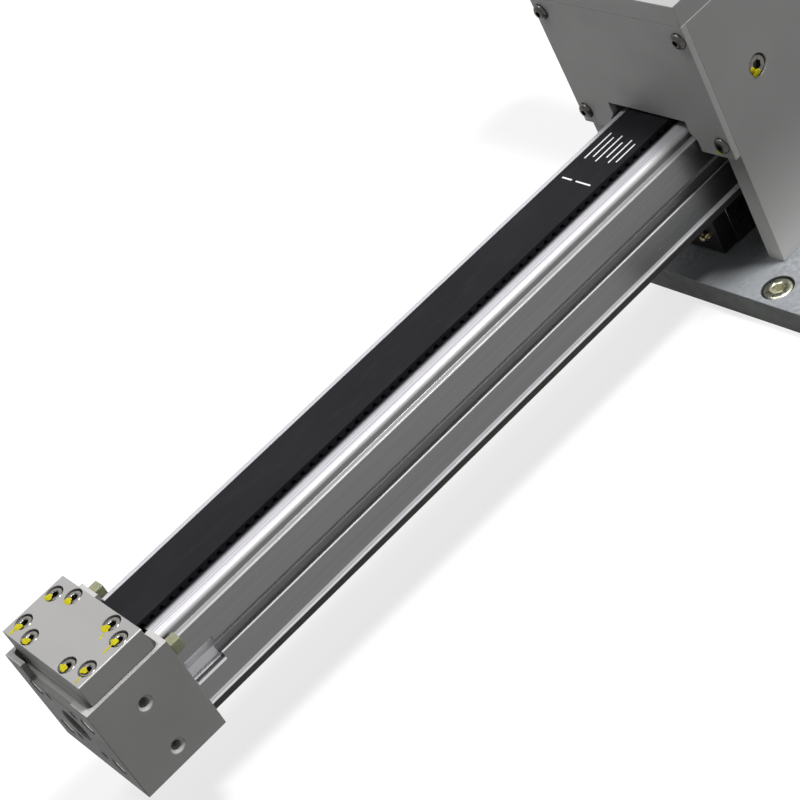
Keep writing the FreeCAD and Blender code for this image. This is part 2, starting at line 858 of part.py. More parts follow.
def rounded_loop(x_low, y_low, x_high, y_high, radius):
    """A rectangle with round corners."""
    return [
        (f"({x_low}) + {radius}", y_low),
        (f"({x_high}) - {radius}", y_low, radius),
        (x_high, f"({y_low}) + {radius}"),
        (x_high, f"({y_high}) - {radius}", radius),
        (f"({x_high}) - {radius}", y_high),
        (f"({x_low}) + {radius}", y_high, radius),
        (x_low, f"({y_high}) - {radius}"),
        (x_low, f"({y_low}) + {radius}", radius),
    ]


def end_block(end, name):
    """Machined block on the profile's end: open pocket for the belt clamp, holes for a tool."""
    inner = "rail_rear" if end > 0 else "rail_front"
    outer = f"{inner} + block_length" if end > 0 else f"{inner} - block_length"
    low = inner if end > 0 else outer
    high = outer if end > 0 else inner
    middle = f"({low} + block_length / 2)"
    body = new_body(f"end_block_{name}")
    outline = box_loop(low, "-block_half", high, "block_half")
    pad(body, "XY_Plane", "block_base", [outline], "block_height")
    pocket_loop = rounded_loop(
        f"{low} + pocket_wall",
        "-(block_half - pocket_rim)",
        f"{high} - pocket_wall",
        "block_half - pocket_rim",
        "pocket_corner",
    )
    pocket(body, "XY_Plane", "block_top", [pocket_loop], "pocket_depth", -1)
    gap = box_loop(low, "-gap_width / 2", high, "gap_width / 2")
    pocket(body, "XY_Plane", "block_top", [gap], "pocket_depth", -1)
    taps = [circle(f"{middle} + {x}", y, "four_radius") for x, y in CLAMP_SEATS]
    depth = "clamp_screw_length - (belt_land + clamp_thick - four_sink - pocket_floor) + 1"
    pocket(body, "XY_Plane", "pocket_floor", taps, depth, -1)
    bore = [circle("0", "block_top - tool_hole_drop", "end_bore_radius")]
    pocket(body, "YZ_Plane", outer, bore, "end_bore_depth", -end)
    tools = [
        circle(y, f"block_top - tool_hole_drop + {z}", "tool_hole_radius")
        for y, z in corners_of("tool_hole_y", "tool_hole_z")
    ]
    pocket(body, "YZ_Plane", outer, tools, "tool_hole_depth", -end)
    holes = [circle(y, z, "four_radius + screw_clear") for y, z in CHANNELS]
    pocket(body, "YZ_Plane", outer, holes, "block_length", -end)
    sinks = [circle(y, z, "four_bore") for y, z in CHANNELS]
    pocket(body, "YZ_Plane", outer, sinks, "four_sink", -end)
    flank = "block_half" if end > 0 else "-block_half"
    for height in ("flank_hole_high", "flank_hole_high - flank_hole_pitch"):
        hole = [circle(middle, f"block_base + {height}", "flank_hole_radius")]
        pocket(body, "XZ_Plane", flank, hole, "flank_hole_depth", -end)
        rim = [circle(middle, f"block_base + {height}", "flank_hole_radius + flank_chamfer")]
        pocket(body, "XZ_Plane", flank, rim, "flank_chamfer", -end)
    sub_part(body, f"end_block_{name}")


def end_block_screws():
    """Long screws through the end blocks into the profile's channels."""
    front = "rail_front - block_length + four_sink"
    rear = "rail_rear + block_length - four_sink"
    seats = [(x, y, z) for x in (front, rear) for y, z in CHANNELS]
    sides = ["-x"] * len(CHANNELS) + ["+x"] * len(CHANNELS)
    screw_group("end_block_screws", seats, sides, FOUR, "block_screw_length")


def belt_clamp(end, name):
    """Toothed jaw under the belt and a plate over it, screwed down into the end block."""
    inner = "rail_rear" if end > 0 else "rail_front"
    middle = f"({inner} + block_length / 2)" if end > 0 else f"({inner} - block_length / 2)"
    low, high = f"{middle} - clamp_length / 2", f"{middle} + clamp_length / 2"
    outline = box_loop(low, "-clamp_width / 2", high, "clamp_width / 2")
    jaw = new_body(f"clamp_jaw_{name}")
    pad(jaw, "XY_Plane", "pocket_floor", [outline], "belt_land - pocket_floor")
    holes = [circle(f"{middle} + {x}", y, "four_radius + screw_clear") for x, y in CLAMP_SEATS]
    pocket(jaw, "XY_Plane", "belt_land", holes, "belt_land - pocket_floor", -1)
    sign = "+" if end > 0 else "-"
    first = f"{inner} {sign} belt_pitch * 1.5"
    root = "belt_tooth_root / 2 + channel_gap"
    tip = "belt_tooth_tip / 2 + channel_gap"
    groove_loop = [
        (f"{first} - ({tip})", "belt_tip - belt_gap"),
        (f"{first} + ({tip})", "belt_tip - belt_gap"),
        (f"{first} + ({root})", "belt_land"),
        (f"{first} - ({root})", "belt_land"),
    ]
    width = "belt_width + 2 * channel_gap"
    groove = pocket(jaw, "XZ_Plane", f"({width}) / 2", [groove_loop], width, -1)
    repeat(jaw, groove, end, "floor(clamp_grip / belt_pitch) - 1", "belt_pitch")
    sub_part(jaw, f"clamp_jaw_{name}")

    plate = new_body(f"clamp_plate_{name}")
    pad(plate, "XY_Plane", "belt_land", [outline], "clamp_thick")
    top = "belt_land + clamp_thick"
    pocket(plate, "XY_Plane", top, holes, "clamp_thick", -1)
    sinks = [circle(f"{middle} + {x}", y, "four_bore") for x, y in CLAMP_SEATS]
    pocket(plate, "XY_Plane", top, sinks, "four_sink", -1)
    if end > 0:
        stretch = (low, f"{inner} + clamp_grip + channel_gap")
    else:
        stretch = (f"{inner} - clamp_grip - channel_gap", high)
    side = "belt_width / 2 + channel_gap"
    channel = box_loop(stretch[0], f"-({side})", stretch[1], side)
    pocket(plate, "XY_Plane", "belt_land", [channel], "belt_back", 1)
    sub_part(plate, f"clamp_plate_{name}")

    seats = [(f"{middle} + {x}", y, f"{top} - four_sink") for x, y in CLAMP_SEATS]
    screw_group(f"clamp_screws_{name}", seats, "+z", FOUR, "clamp_screw_length")


def bumper_pads(end, name):
    """Two rubber pads on the block's inner face that meet the head's cover at the stroke's end."""
    low = "rail_rear - pad_thick" if end > 0 else "rail_front"
    z = "block_top - pad_drop - pad_height"
    pads = [
        block(f"pad_{name}_{number}", "pad_thick", "pad_width", "pad_height", low, y, z)
        for number, y in enumerate(("block_half - pad_width - 0.3", "-block_half + 0.3"))
    ]
    group_of(f"bumper_pads_{name}", pads)


# Belt

def extruded_belt(node, outline):
    """Make one stretch of belt from its closed outline in the XZ plane."""
    width = value("belt_width")
    face = Part.Face(Part.Wire(outline))
    shape = face.extrude(Vector(0, width, 0))
    shape.translate(Vector(0, -width / 2, 0))
    feature = doc.addObject("Part::Feature", node)
    feature.Shape = shape
    sub_part(feature, node)


def polyline(points):
    """Straight edges through a list of points."""
    return [Part.LineSegment(a, b).toShape() for a, b in zip(points, points[1:])]


def tooth_points(centre, along, inward):
    """The four corners of one belt tooth that stands inward from the land."""
    root, tip = value("belt_tooth_root") / 2, value("belt_tooth_tip") / 2
    depth = value("belt_tooth")
    return [
        centre - along * root,
        centre - along * tip + inward * depth,
        centre + along * tip + inward * depth,
        centre + along * root,
    ]


def belt_run(end, name):
    """Straight belt on the rail, from inside the clamp to the idler."""
    pitch = value("belt_pitch")
    inner = value("rail_rear" if end > 0 else "rail_front")
    land, top = value("belt_land"), value("belt_top")
    fixed = inner + end * value("clamp_grip")
    free = end * value("idler_x")
    teeth = []
    number = -int(value("clamp_grip") / pitch)
    while True:
        x = inner - end * pitch * (number + 0.5)
        if (x - free) * end < value("belt_tooth_root") / 2:
            break
        teeth += tooth_points(Vector(x, 0, land), Vector(-end, 0, 0), Vector(0, 0, -1))
        number += 1
    path = [Vector(fixed, 0, top), Vector(fixed, 0, land)] + teeth
    path += [Vector(free, 0, land), Vector(free, 0, top), Vector(fixed, 0, top)]
    extruded_belt(f"belt_run_{name}", polyline(path))


def belt_loop():
    """Belt that rises from the front idler, wraps the pulley and drops to the rear idler.

    Lengths run along the belt's pitch line from the pulley's top, where a tooth stands.
    """
    idler_x, idler_z, pulley_z = value("idler_x"), value("idler_z"), value("pulley_z")
    back, thick = value("back_radius"), value("belt_back")
    bend = value("idler_radius + roll_gap")
    wrap = value("pitch_radius") * math.pi / 2
    rise = pulley_z - idler_z
    quarter = (bend + thick - value("pitch_drop")) * math.pi / 2
    half = wrap + rise + quarter

    def back_point(length):
        """Place on the belt's back, and the direction from there to its teeth."""
        if length < 0:
            spot, inward = back_point(-length)
            return Vector(-spot.x, 0, spot.z), Vector(-inward.x, 0, inward.z)
        if length <= wrap:
            angle = length / wrap * math.pi / 2
            outward = Vector(math.sin(angle), 0, math.cos(angle))
            return Vector(0, 0, pulley_z) + outward * back, outward * -1
        if length <= wrap + rise:
            return Vector(back, 0, pulley_z - (length - wrap)), Vector(-1, 0, 0)
        angle = (length - wrap - rise) / quarter * math.pi / 2
        inward = Vector(-math.cos(angle), 0, -math.sin(angle))
        return Vector(idler_x, 0, idler_z) + inward * bend, inward

    def land_point(length, depth):
        spot, inward = back_point(length)
        return spot + inward * (thick + depth)

    def back_arc(start, stop):
        points = [back_point(length)[0] for length in (start, (start + stop) / 2, stop)]
        return Part.Arc(*points).toShape()

    root, tip = value("belt_tooth_root") / 2, value("belt_tooth_tip") / 2
    pitch, depth = value("belt_pitch"), value("belt_tooth")
    count = int((half - root) / pitch)
    toothed = [land_point(half, 0)]
    for number in range(count, -count - 1, -1):
        middle = number * pitch
        toothed.append(land_point(middle + root, 0))
        toothed.append(land_point(middle + tip, depth))
        toothed.append(land_point(middle - tip, depth))
        toothed.append(land_point(middle - root, 0))
    toothed.append(land_point(-half, 0))
    edges = [back_arc(-half, -wrap - rise)]
    edges += polyline([back_point(-wrap - rise)[0], back_point(-wrap)[0]])
    edges.append(back_arc(-wrap, wrap))
    edges += polyline([back_point(wrap)[0], back_point(wrap + rise)[0]])
    edges.append(back_arc(wrap + rise, half))
    edges += polyline([back_point(half)[0]] + toothed + [back_point(-half)[0]])
    extruded_belt("belt_loop", edges)


# Drive

def drive_pulley():
    """Toothed pulley with a long hub, bored for the shaft and its key."""
    body = new_body("drive_pulley")
    half = "pulley_width / 2"
    rim = [circle("0", "0", "pulley_radius")]
    pad(body, "XZ_Plane", f"-{half}", rim, "pulley_width")
    depth = "belt_tooth + 2 * roll_gap"
    root = "belt_tooth_root / 2 + roll_gap"
    tip = "belt_tooth_tip / 2 + roll_gap * 0.6"
    groove_loop = [
        (f"-({root})", "pulley_radius + 1"),
        (f"-({root})", "pulley_radius - 0.3"),
        (f"-({tip})", f"pulley_radius - ({depth}) + roll_gap"),
        (tip, f"pulley_radius - ({depth}) + roll_gap"),
        (root, "pulley_radius - 0.3"),
        (root, "pulley_radius + 1"),
    ]
    groove = pocket(body, "XZ_Plane", half, [groove_loop], "pulley_width", -1)
    ring = body.newObject("PartDesign::PolarPattern", "pulley_grooves")
    ring.Originals = [groove]
    ring.Axis = (groove.Profile[0], ["N_Axis"])
    ring.Angle = 360
    ring.setExpression("Occurrences", bound("pulley_teeth"))
    body.Tip = ring
    reach = "side_in - side_gap"
    for radius, end in (("flange_bore", f"{half} + flange_thick"), ("hub_radius", reach)):
        hub = [circle("0", "0", radius)]
        pad(body, "XZ_Plane", f"-({end})", hub, f"2 * ({end})")
    bore = [circle("0", "0", "shaft_radius")]
    pocket(body, "XZ_Plane", reach, bore, f"2 * ({reach})", -1)
    keyway = box_loop("-key_width / 2", "0", "key_width / 2", "shaft_radius + key_width / 2")
    pocket(body, "XZ_Plane", "key_length / 2", [keyway], "key_length", -1)
    place(body, "0", "0", "pulley_z")
    sub_part(body, "drive_pulley")


def pulley_flanges():
    """Thin rings that keep the belt on the pulley."""
    rings = []
    for number, low in enumerate(("pulley_width / 2", "-pulley_width / 2 - flange_thick")):
        ring = new_body(f"pulley_flange_{number}")
        loops = [circle("0", "0", "flange_radius"), circle("0", "0", "flange_bore")]
        pad(ring, "XZ_Plane", low, loops, "flange_thick")
        place(ring, "0", "0", "pulley_z")
        rings.append(ring)
    group_of("pulley_flanges", rings)


def drive_shaft():
    """Shaft from the blind right-hand bearing to the coupling, with its key and bearings."""
    body = new_body("drive_shaft")
    low = "-(bearing_in - side_gap)"
    shaft = [circle("0", "0", "shaft_radius")]
    pad(body, "XZ_Plane", low, shaft, f"shaft_end + bearing_in - side_gap")
    seat = box_loop("-key_width / 2", "shaft_radius - key_width / 2", "key_width / 2", "shaft_radius + 1")
    pocket(body, "XZ_Plane", "key_length / 2", [seat], "key_length", -1)
    place(body, "0", "0", "pulley_z")
    sub_part(body, "drive_shaft")
    key = block(
        "shaft_key",
        "key_width",
        "key_length",
        "key_width",
        "-key_width / 2",
        "-key_length / 2",
        "pulley_z + shaft_radius - key_width / 2",
    )
    sub_part(key, "shaft_key")
    bore = "shaft_radius + fit_gap"
    for name, start, stop in (
        ("right", "-bearing_in", "-side_in"),
        ("left", "side_in", "bearing_in"),
    ):
        outline = [
            (bore, start),
            ("bearing_radius", start),
            ("bearing_radius", stop),
            (f"bearing_radius - 1.8", stop),
            (f"bearing_radius - 1.8", f"{stop} - 0.5"),
            (f"{bore} + 1.8", f"{stop} - 0.5"),
            (f"{bore} + 1.8", stop),
            (bore, stop),
        ]
        turned(f"shaft_bearing_{name}", outline, "0", "pulley_z")


def idler(end, name):
    """Plain roller on two needle bearings, on a pin between the side plates."""
    x = "idler_x" if end > 0 else "-idler_x"
    pin = [
        ("five_radius", "-side_in"),
        ("idler_pin_radius", "-side_in"),
        ("idler_pin_radius", "side_in"),
        ("five_radius", "side_in"),
        ("five_radius", "side_in - (pin_screw_length - side_thick + five_sink + 1)"),
        ("0", "side_in - (pin_screw_length - side_thick + five_sink + 1)"),
        ("0", "-side_in + (pin_screw_length - side_thick + five_sink + 1)"),
        ("five_radius", "-side_in + (pin_screw_length - side_thick + five_sink + 1)"),
    ]
    turned(f"idler_pin_{name}", pin, x, "idler_z")
    half = "idler_width / 2"
    roller = [
        ("needle_radius", f"-{half}"),
        ("idler_radius - 0.6", f"-{half}"),
        ("idler_radius", f"-{half} + 0.6"),
        ("idler_radius", f"{half} - 0.6"),
        ("idler_radius - 0.6", half),
        ("needle_radius", half),
    ]
    turned(f"idler_roller_{name}", roller, x, "idler_z")
    bore = "idler_pin_radius + fit_gap"
    rings = []
    for number, low in enumerate((f"-{half}", f"{half} - needle_length")):
        ring = new_body(f"needle_{name}_{number}")
        loops = [circle("0", "0", "needle_radius"), circle("0", "0", bore)]
        pad(ring, "XZ_Plane", low, loops, "needle_length")
        place(ring, x, "0", "idler_z")
        rings.append(ring)
    group_of(f"idler_bearings_{name}", rings)


def idler_spacers():
    """Sleeves that centre the idler rollers between the side plates."""
    length = "side_in - idler_width / 2 - side_gap"
    sleeves = []
    for end in ("", "-"):
        for low in ("idler_width / 2 + side_gap", "-side_in"):
            sleeve = new_body(f"idler_sleeve_{len(sleeves)}")
            loops = [circle("0", "0", "needle_radius"), circle("0", "0", "idler_pin_radius")]
            pad(sleeve, "XZ_Plane", low, loops, length)
            place(sleeve, f"{end}idler_x", "0", "idler_z")
            sleeves.append(sleeve)
    group_of("idler_spacers", sleeves)


# Coupling and motor

def coupling():
    """Jaw coupling: two hubs whose jaws interlock through a soft spider."""
    radius = "coupling_radius"
    for name, low, jaw_low, bore, turn in (
        ("shaft", "hub_start", "hub_end", "shaft_radius", 0),
        ("motor", "motor_hub", "hub_end", "motor_shaft_radius", 90),
    ):
        body = new_body(f"coupling_hub_{name}")
        pad(body, "XZ_Plane", low, [circle("0", "0", radius)], "coupling_hub")
        for sign in ("", "-"):
            near, far = f"{sign}8", f"{sign}13"
            if turn:
                jaw = box_loop(near, "-jaw_width / 2", far, "jaw_width / 2")
            else:
                jaw = box_loop("-jaw_width / 2", near, "jaw_width / 2", far)
            pad(body, "XZ_Plane", jaw_low, [jaw], "coupling_gap")
        pocket(body, "XZ_Plane", low, [circle("0", "0", bore)], "coupling_hub", 1)
        place(body, "0", "0", "pulley_z")
        sub_part(body, f"coupling_hub_{name}")
    spider = new_body("coupling_spider")
    reach = "coupling_radius - 0.5"
    loops = [circle("0", "0", reach)]
    pad(spider, "XZ_Plane", "hub_end + 0.1", loops, "coupling_gap - 0.2")
    half = "jaw_width / 2 + 0.1"
    for sign in ("", "-"):
        near, far = f"{sign}7.9", f"{sign}15"
        windows = [
            box_loop(near, f"-({half})", far, half),
            box_loop(f"-({half})", near, half, far),
        ]
        pocket(spider, "XZ_Plane", "hub_end + coupling_gap", windows, "coupling_gap", -1)
    place(spider, "0", "0", "pulley_z")
    sub_part(spider, "coupling_spider")


def motor_adapter():
    """Bell housing between the left side plate and the motor, round the coupling."""
    body = new_body("motor_adapter")
    half_width, half_height = "adapter_width / 2", "adapter_height / 2"
    flange = box_loop(f"-{half_width}", f"-{half_height}", half_width, half_height)
    pad(body, "XZ_Plane", "side_out", [flange], "adapter_flange")
    half = "motor_width / 2"
    bell = box_loop(f"-{half}", f"-{half}", half, half)
    pad(body, "XZ_Plane", "side_out", [bell], "adapter_length")
    bore = [circle("0", "0", "adapter_bore")]
    pocket(body, "XZ_Plane", "side_out", bore, "adapter_length - adapter_seat", 1)
    pilot = [circle("0", "0", "pilot_radius")]
    pocket(body, "XZ_Plane", "motor_face", pilot, "adapter_seat", -1)
    holes = [
        circle(x, z, "five_radius + screw_clear")
        for x, z in corners_of("adapter_screw_x", "adapter_screw_z")
    ]
    pocket(body, "XZ_Plane", "side_out", holes, "adapter_flange", 1)
    taps = [
        circle(x, z, "four_radius")
        for x, z in corners_of("motor_screw_pitch / 2", "motor_screw_pitch / 2")
    ]
    pocket(body, "XZ_Plane", "motor_face", taps, "motor_screw_length - motor_bell + 1", -1)
    place(body, "0", "0", "pulley_z")
    sub_part(body, "motor_adapter")
    seats = [
        (x, "side_out + adapter_flange", f"pulley_z + {z}")
        for x, z in corners_of("adapter_screw_x", "adapter_screw_z")
    ]
    screw_group("adapter_screws", seats, "+y", FIVE, "adapter_screw_length")


def motor():
    """Square stepper-type motor: front bell, laminated stack, rear cap, shaft and socket."""
    half = "motor_width / 2"
    square = box_loop(f"-{half}", f"-{half}", half, half)
    cut = "motor_corner"
    octagon = [
        (f"-{half} + {cut}", f"-{half}"),
        (f"{half} - {cut}", f"-{half}"),
        (half, f"-{half} + {cut}"),
        (half, f"{half} - {cut}"),
        (f"{half} - {cut}", half),
        (f"-{half} + {cut}", half),
        (f"-{half}", f"{half} - {cut}"),
        (f"-{half}", f"-{half} + {cut}"),
    ]
    bell = new_body("motor_bell")
    pad(bell, "XZ_Plane", "motor_face", [square], "motor_bell")
    pad(bell, "XZ_Plane", "motor_face - pilot_depth", [circle("0", "0", "pilot_radius")], "motor_bell")
    hole = [circle("0", "0", "motor_shaft_radius + 1")]
    pocket(bell, "XZ_Plane", "motor_face - pilot_depth", hole, "pilot_depth + motor_bell", 1)
    holes = [
        circle(x, z, "four_radius + screw_clear")
        for x, z in corners_of("motor_screw_pitch / 2", "motor_screw_pitch / 2")
    ]
    pocket(bell, "XZ_Plane", "motor_face", holes, "motor_bell", 1)
    place(bell, "0", "0", "pulley_z")
    sub_part(bell, "motor_bell")
    stack = new_body("motor_stack")
    pad(stack, "XZ_Plane", "bell_end", [octagon], "motor_stack")
    corner = "motor_screw_pitch / 2 - four_head - 0.8"
    for x_sign in ("", "-"):
        for z_sign in ("", "-"):
            relief = box_loop(f"{x_sign}({corner})", f"{z_sign}({corner})", f"{x_sign}{half}", f"{z_sign}{half}")
            pocket(stack, "XZ_Plane", "bell_end", [relief], "motor_screw_length + four_high + 2", 1)
    place(stack, "0", "0", "pulley_z")
    sub_part(stack, "motor_stack")
    cap = new_body("motor_rear_cap")
    pad(cap, "XZ_Plane", "stack_end", [octagon], "motor_cap")
    place(cap, "0", "0", "pulley_z")
    sub_part(cap, "motor_rear_cap")
    shaft = new_body("motor_shaft")
    length = "motor_face + motor_bell - motor_hub"
    pad(shaft, "XZ_Plane", "motor_hub", [circle("0", "0", "motor_shaft_radius")], length)
    place(shaft, "0", "0", "pulley_z")
    sub_part(shaft, "motor_shaft")
    socket = block(
        "motor_socket",
        "connector_length",
        "motor_cap - 4",
        "connector_height",
        "-connector_length / 2",
        "stack_end + 2",
        f"pulley_z + {half}",
    )
    sub_part(socket, "motor_socket")
    seats = [
        (x, "bell_end", f"pulley_z + {z}")
        for x, z in corners_of("motor_screw_pitch / 2", "motor_screw_pitch / 2")
    ]
    screw_group("motor_screws", seats, "+y", FOUR, "motor_screw_length")


def build():
    """Make every sub-part."""
    base_plate()
    side_plate("side_plate_right", -1)
    side_plate("side_plate_left", 1)
    top_plate()
    cover("front_cover", -1)
    cover("rear_cover", 1)
    casing_screws()
    runner(-1, "front")
    runner(1, "rear")
    grease_nipples()
    runner_screws()
    guide_rail()
    profile()
    for end, name in ((-1, "front"), (1, "rear")):
        end_block(end, name)
        belt_clamp(end, name)
        bumper_pads(end, name)
        belt_run(end, name)
        idler(end, name)
    end_block_screws()
    belt_loop()
    idler_spacers()
    drive_pulley()
    pulley_flanges()
    drive_shaft()
    coupling()
    motor_adapter()
    motor()


def check():
    """Stop if any object failed or any sub-part has no valid shape."""
    for item in doc.Objects:
        if "Invalid" in item.State or "Error" in item.State:
            raise RuntimeError(f"{item.Name} failed: {item.State}")
    for node in nodes:
        if node.Shape.isNull() or not node.Shape.isValid():
            raise RuntimeError(f"{node.Label} has no valid shape")


build()
doc.recompute()
check()
os.makedirs(NODE_FOLDER, exist_ok=True)
for node in nodes:
    node.Shape.exportStep(f"{NODE_FOLDER}/{node.Label}.step")
    print(node.Label, len(node.Shape.Solids), round(node.Shape.Volume))
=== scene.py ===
import math
import random

import bmesh
import bpy
from mathutils import Matrix, Vector


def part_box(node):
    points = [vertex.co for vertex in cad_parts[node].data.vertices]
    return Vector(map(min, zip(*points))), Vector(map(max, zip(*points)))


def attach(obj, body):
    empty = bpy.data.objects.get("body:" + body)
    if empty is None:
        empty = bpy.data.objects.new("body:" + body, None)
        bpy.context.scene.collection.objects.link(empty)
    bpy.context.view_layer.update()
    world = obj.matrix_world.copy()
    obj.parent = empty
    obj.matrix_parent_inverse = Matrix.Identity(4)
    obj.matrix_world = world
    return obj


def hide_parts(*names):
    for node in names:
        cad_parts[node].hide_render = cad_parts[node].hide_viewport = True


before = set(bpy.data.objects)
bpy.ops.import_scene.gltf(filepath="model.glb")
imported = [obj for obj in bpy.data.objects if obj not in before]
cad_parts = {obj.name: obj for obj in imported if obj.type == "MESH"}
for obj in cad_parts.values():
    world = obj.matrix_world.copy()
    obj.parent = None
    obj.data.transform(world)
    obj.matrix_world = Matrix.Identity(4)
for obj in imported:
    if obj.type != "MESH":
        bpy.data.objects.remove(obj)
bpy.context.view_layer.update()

bl_info = {
    "name": "Belt-driven linear axis",
    "version": (1, 0, 0),
    "blender": (4, 5, 0),
    "location": "3D View > Sidebar > Linear axis",
    "description": "Dresses the linear axis with eased plates, screws, belt, pads, finishes and a stage",
    "category": "Object",
}

MM = 0.001
TURN = math.tau


# Sizes, colours and light that a user would change


def number_field(name, description, default, unit="NONE"):
    """A number of at least 0 that a user can change."""
    return bpy.props.FloatProperty(name=name, description=description, default=default, min=0.0, unit=unit)


def length_field(name, description, default):
    """A length that a user can change."""
    return number_field(name, description, default, "LENGTH")


def power_field(name, description, default):
    """A lamp's power that a user can change."""
    return number_field(name, description, default, "POWER")


def colour_field(name, description, default):
    """A colour that a user can change."""
    kind = {"subtype": "COLOR", "default": default}
    return bpy.props.FloatVectorProperty(name=name, description=description, **kind)


class AxisSizes(bpy.types.PropertyGroup):
    """Sizes of the dressed pieces."""

    edge: length_field("Eased edge", "Width of the small bevel on machined edges", 0.3 * MM)
    belt_pitch: length_field("Belt pitch", "Distance from one belt tooth to the next", 5 * MM)
    belt_tooth: length_field("Belt tooth", "Height of a belt tooth", 2 * MM)
    pad_round: length_field("Pad rounding", "Radius on the edges of the bumper pads", 0.5 * MM)


class AxisColours(bpy.types.PropertyGroup):
    """Main colours of the dressed pieces."""

    casing: colour_field("Casing", "Anodised plates of the head", (0.30, 0.30, 0.296))
    rail: colour_field("Rail", "Anodised extruded profile", (0.148, 0.148, 0.147))
    # Painted highlight: this light colour stands for the light that the shoulders catch, and the profile's
    # other painted highlights and painted slot light are made from it
    shoulders: colour_field("Rail shoulders", "Bright shoulders of the profile", (0.70, 0.69, 0.71))
    blocks: colour_field("End blocks", "Milled end blocks and belt clamps", (0.275, 0.272, 0.268))
    base: colour_field("Base plate", "Zinc-plated base plate", (0.245, 0.257, 0.27))
    belt: colour_field("Belt", "Black polyurethane belt", (0.0095, 0.0095, 0.011))
    pads: colour_field("Bumper pads", "Translucent polyurethane pads", (0.20, 0.21, 0.115))
    paint: colour_field("Marking paint", "Paint that seals the set screws", (0.41, 0.36, 0.004))


class AxisLight(bpy.types.PropertyGroup):
    """Level of the studio light."""

    key: power_field("Rear softbox", "Power of the softbox behind the left side", 6.5)
    top: power_field("Overhead softbox", "Power of the small softbox above the right side", 28.0)
    fill: power_field("Front softbox", "Power of the weak softbox above the front end", 7.0)
    sky: number_field("Sky", "Strength of the even light from all round", 0.18)


# Small helpers for shader trees


def put(tree, kind, inputs=None, **settings):
    """Add a shader node, set its properties, then set or link its inputs."""
    node = tree.nodes.new("ShaderNode" + kind)
    for name, setting in settings.items():
        setattr(node, name, setting)
    for name, given in (inputs or {}).items():
        if isinstance(given, bpy.types.NodeSocket):
            tree.links.new(given, node.inputs[name])
        else:
            node.inputs[name].default_value = given
    return node


def new_group(name, output, **inputs):
    """Start a node group. Return it with its input sockets and its one output socket."""
    group = bpy.data.node_groups.new(name, "ShaderNodeTree")
    for socket, kind in inputs.items():
        group.interface.new_socket(socket, in_out="INPUT", socket_type="NodeSocket" + kind)
    group.interface.new_socket(output, in_out="OUTPUT", socket_type="NodeSocketFloat")
    start = group.nodes.new("NodeGroupInput")
    end = group.nodes.new("NodeGroupOutput")
    return group, start.outputs, end.inputs[output]


def blend_colours(tree, mask, low, high):
    """Mix two colours by a mask. Return the colour socket."""
    mix = put(tree, "Mix", {0: mask, 6: low, 7: high}, data_type="RGBA")
    return mix.outputs[2]


def blend_levels(tree, mask, low, high):
    """Turn a mask from 0 to 1 into a level from low to high."""
    ramp = put(tree, "MapRange", {"Value": mask, "To Min": low, "To Max": high})
    return ramp.outputs["Result"]


def math_node(tree, operation, *values):
    """One Math node. Return its output."""
    node = put(tree, "Math", dict(enumerate(values)), operation=operation)
    return node.outputs[0]


def overlap(tree, one, other):
    """Mask of what lies in both masks."""
    return math_node(tree, "MULTIPLY", one, other)


def either(tree, one, other):
    """Mask of what lies in one mask or the other."""
    return math_node(tree, "MAXIMUM", one, other)


def object_spot(tree):
    """Where a point lies on its piece."""
    return put(tree, "TexCoord").outputs["Object"]


def noise(tree, spot, scale, detail):
    """Cloudy noise. Return its level."""
    return put(tree, "TexNoise", {"Vector": spot, "Scale": scale, "Detail": detail}).outputs["Fac"]


def make_drift():
    """Soft patches: a noise, stretched along the axes, as a mask between two of its levels."""
    group, given, mask = new_group(
        "drift", "Mask", Scale="Float", Stretch="Vector", Detail="Float", Low="Float", High="Float"
    )
    spot = put(group, "Mapping", {"Vector": object_spot(group), "Scale": given["Stretch"]})
    cloud = noise(group, spot.outputs[0], given["Scale"], given["Detail"])
    span = put(group, "MapRange", {"Value": cloud, "From Min": given["Low"], "From Max": given["High"]})
    group.links.new(span.outputs["Result"], mask)
    return group


def make_grain():
    """Fine grain or brushing as a height, from two sizes of stretched noise."""
    group, given, height = new_group("grain", "Height", Scale="Float", Stretch="Vector")
    spot = put(group, "Mapping", {"Vector": object_spot(group), "Scale": given["Stretch"]})
    fine = noise(group, spot.outputs[0], given["Scale"], 2.0)
    wide = noise(group, spot.outputs[0], math_node(group, "MULTIPLY", given["Scale"], 0.23), 1.0)
    group.links.new(math_node(group, "MULTIPLY_ADD", fine, 0.7, wide), height)
    return group


def make_stripe():
    """A stripe with soft edges, at a place along one axis and on both sides of the middle."""
    group, given, mask = new_group(
        "stripe", "Mask", Along="Vector", Place="Float", Half="Float", Soft="Float"
    )
    values = {0: object_spot(group), 1: given["Along"]}
    along = put(group, "VectorMath", values, operation="DOT_PRODUCT").outputs["Value"]
    gap = math_node(group, "SUBTRACT", math_node(group, "ABSOLUTE", along), given["Place"])
    rim = math_node(group, "ADD", given["Half"], given["Soft"])
    values = {"Value": math_node(group, "ABSOLUTE", gap), "From Min": given["Half"], "From Max": rim}
    span = put(group, "MapRange", {**values, "To Min": 1.0, "To Max": 0.0})
    group.links.new(span.outputs["Result"], mask)
    return group


GROUPS = {}


def group(maker):
    """A shared node group, made the first time it is asked for."""
    if maker not in GROUPS:
        GROUPS[maker] = maker()
    return GROUPS[maker]


ALONG = (1, 0, 0)
ACROSS = (0, 1, 0)
UPWARDS = (0, 0, 1)


def stripe(tree, axis, low, high, soft=0.1):
    """Place a stripe from low to high, in millimetres, in a material. Return its mask."""
    values = {
        "Along": axis,
        "Place": (low + high) / 2 * MM,
        "Half": (high - low) / 2 * MM,
        "Soft": soft * MM,
    }
    return put(tree, "Group", values, node_tree=group(make_stripe)).outputs["Mask"]


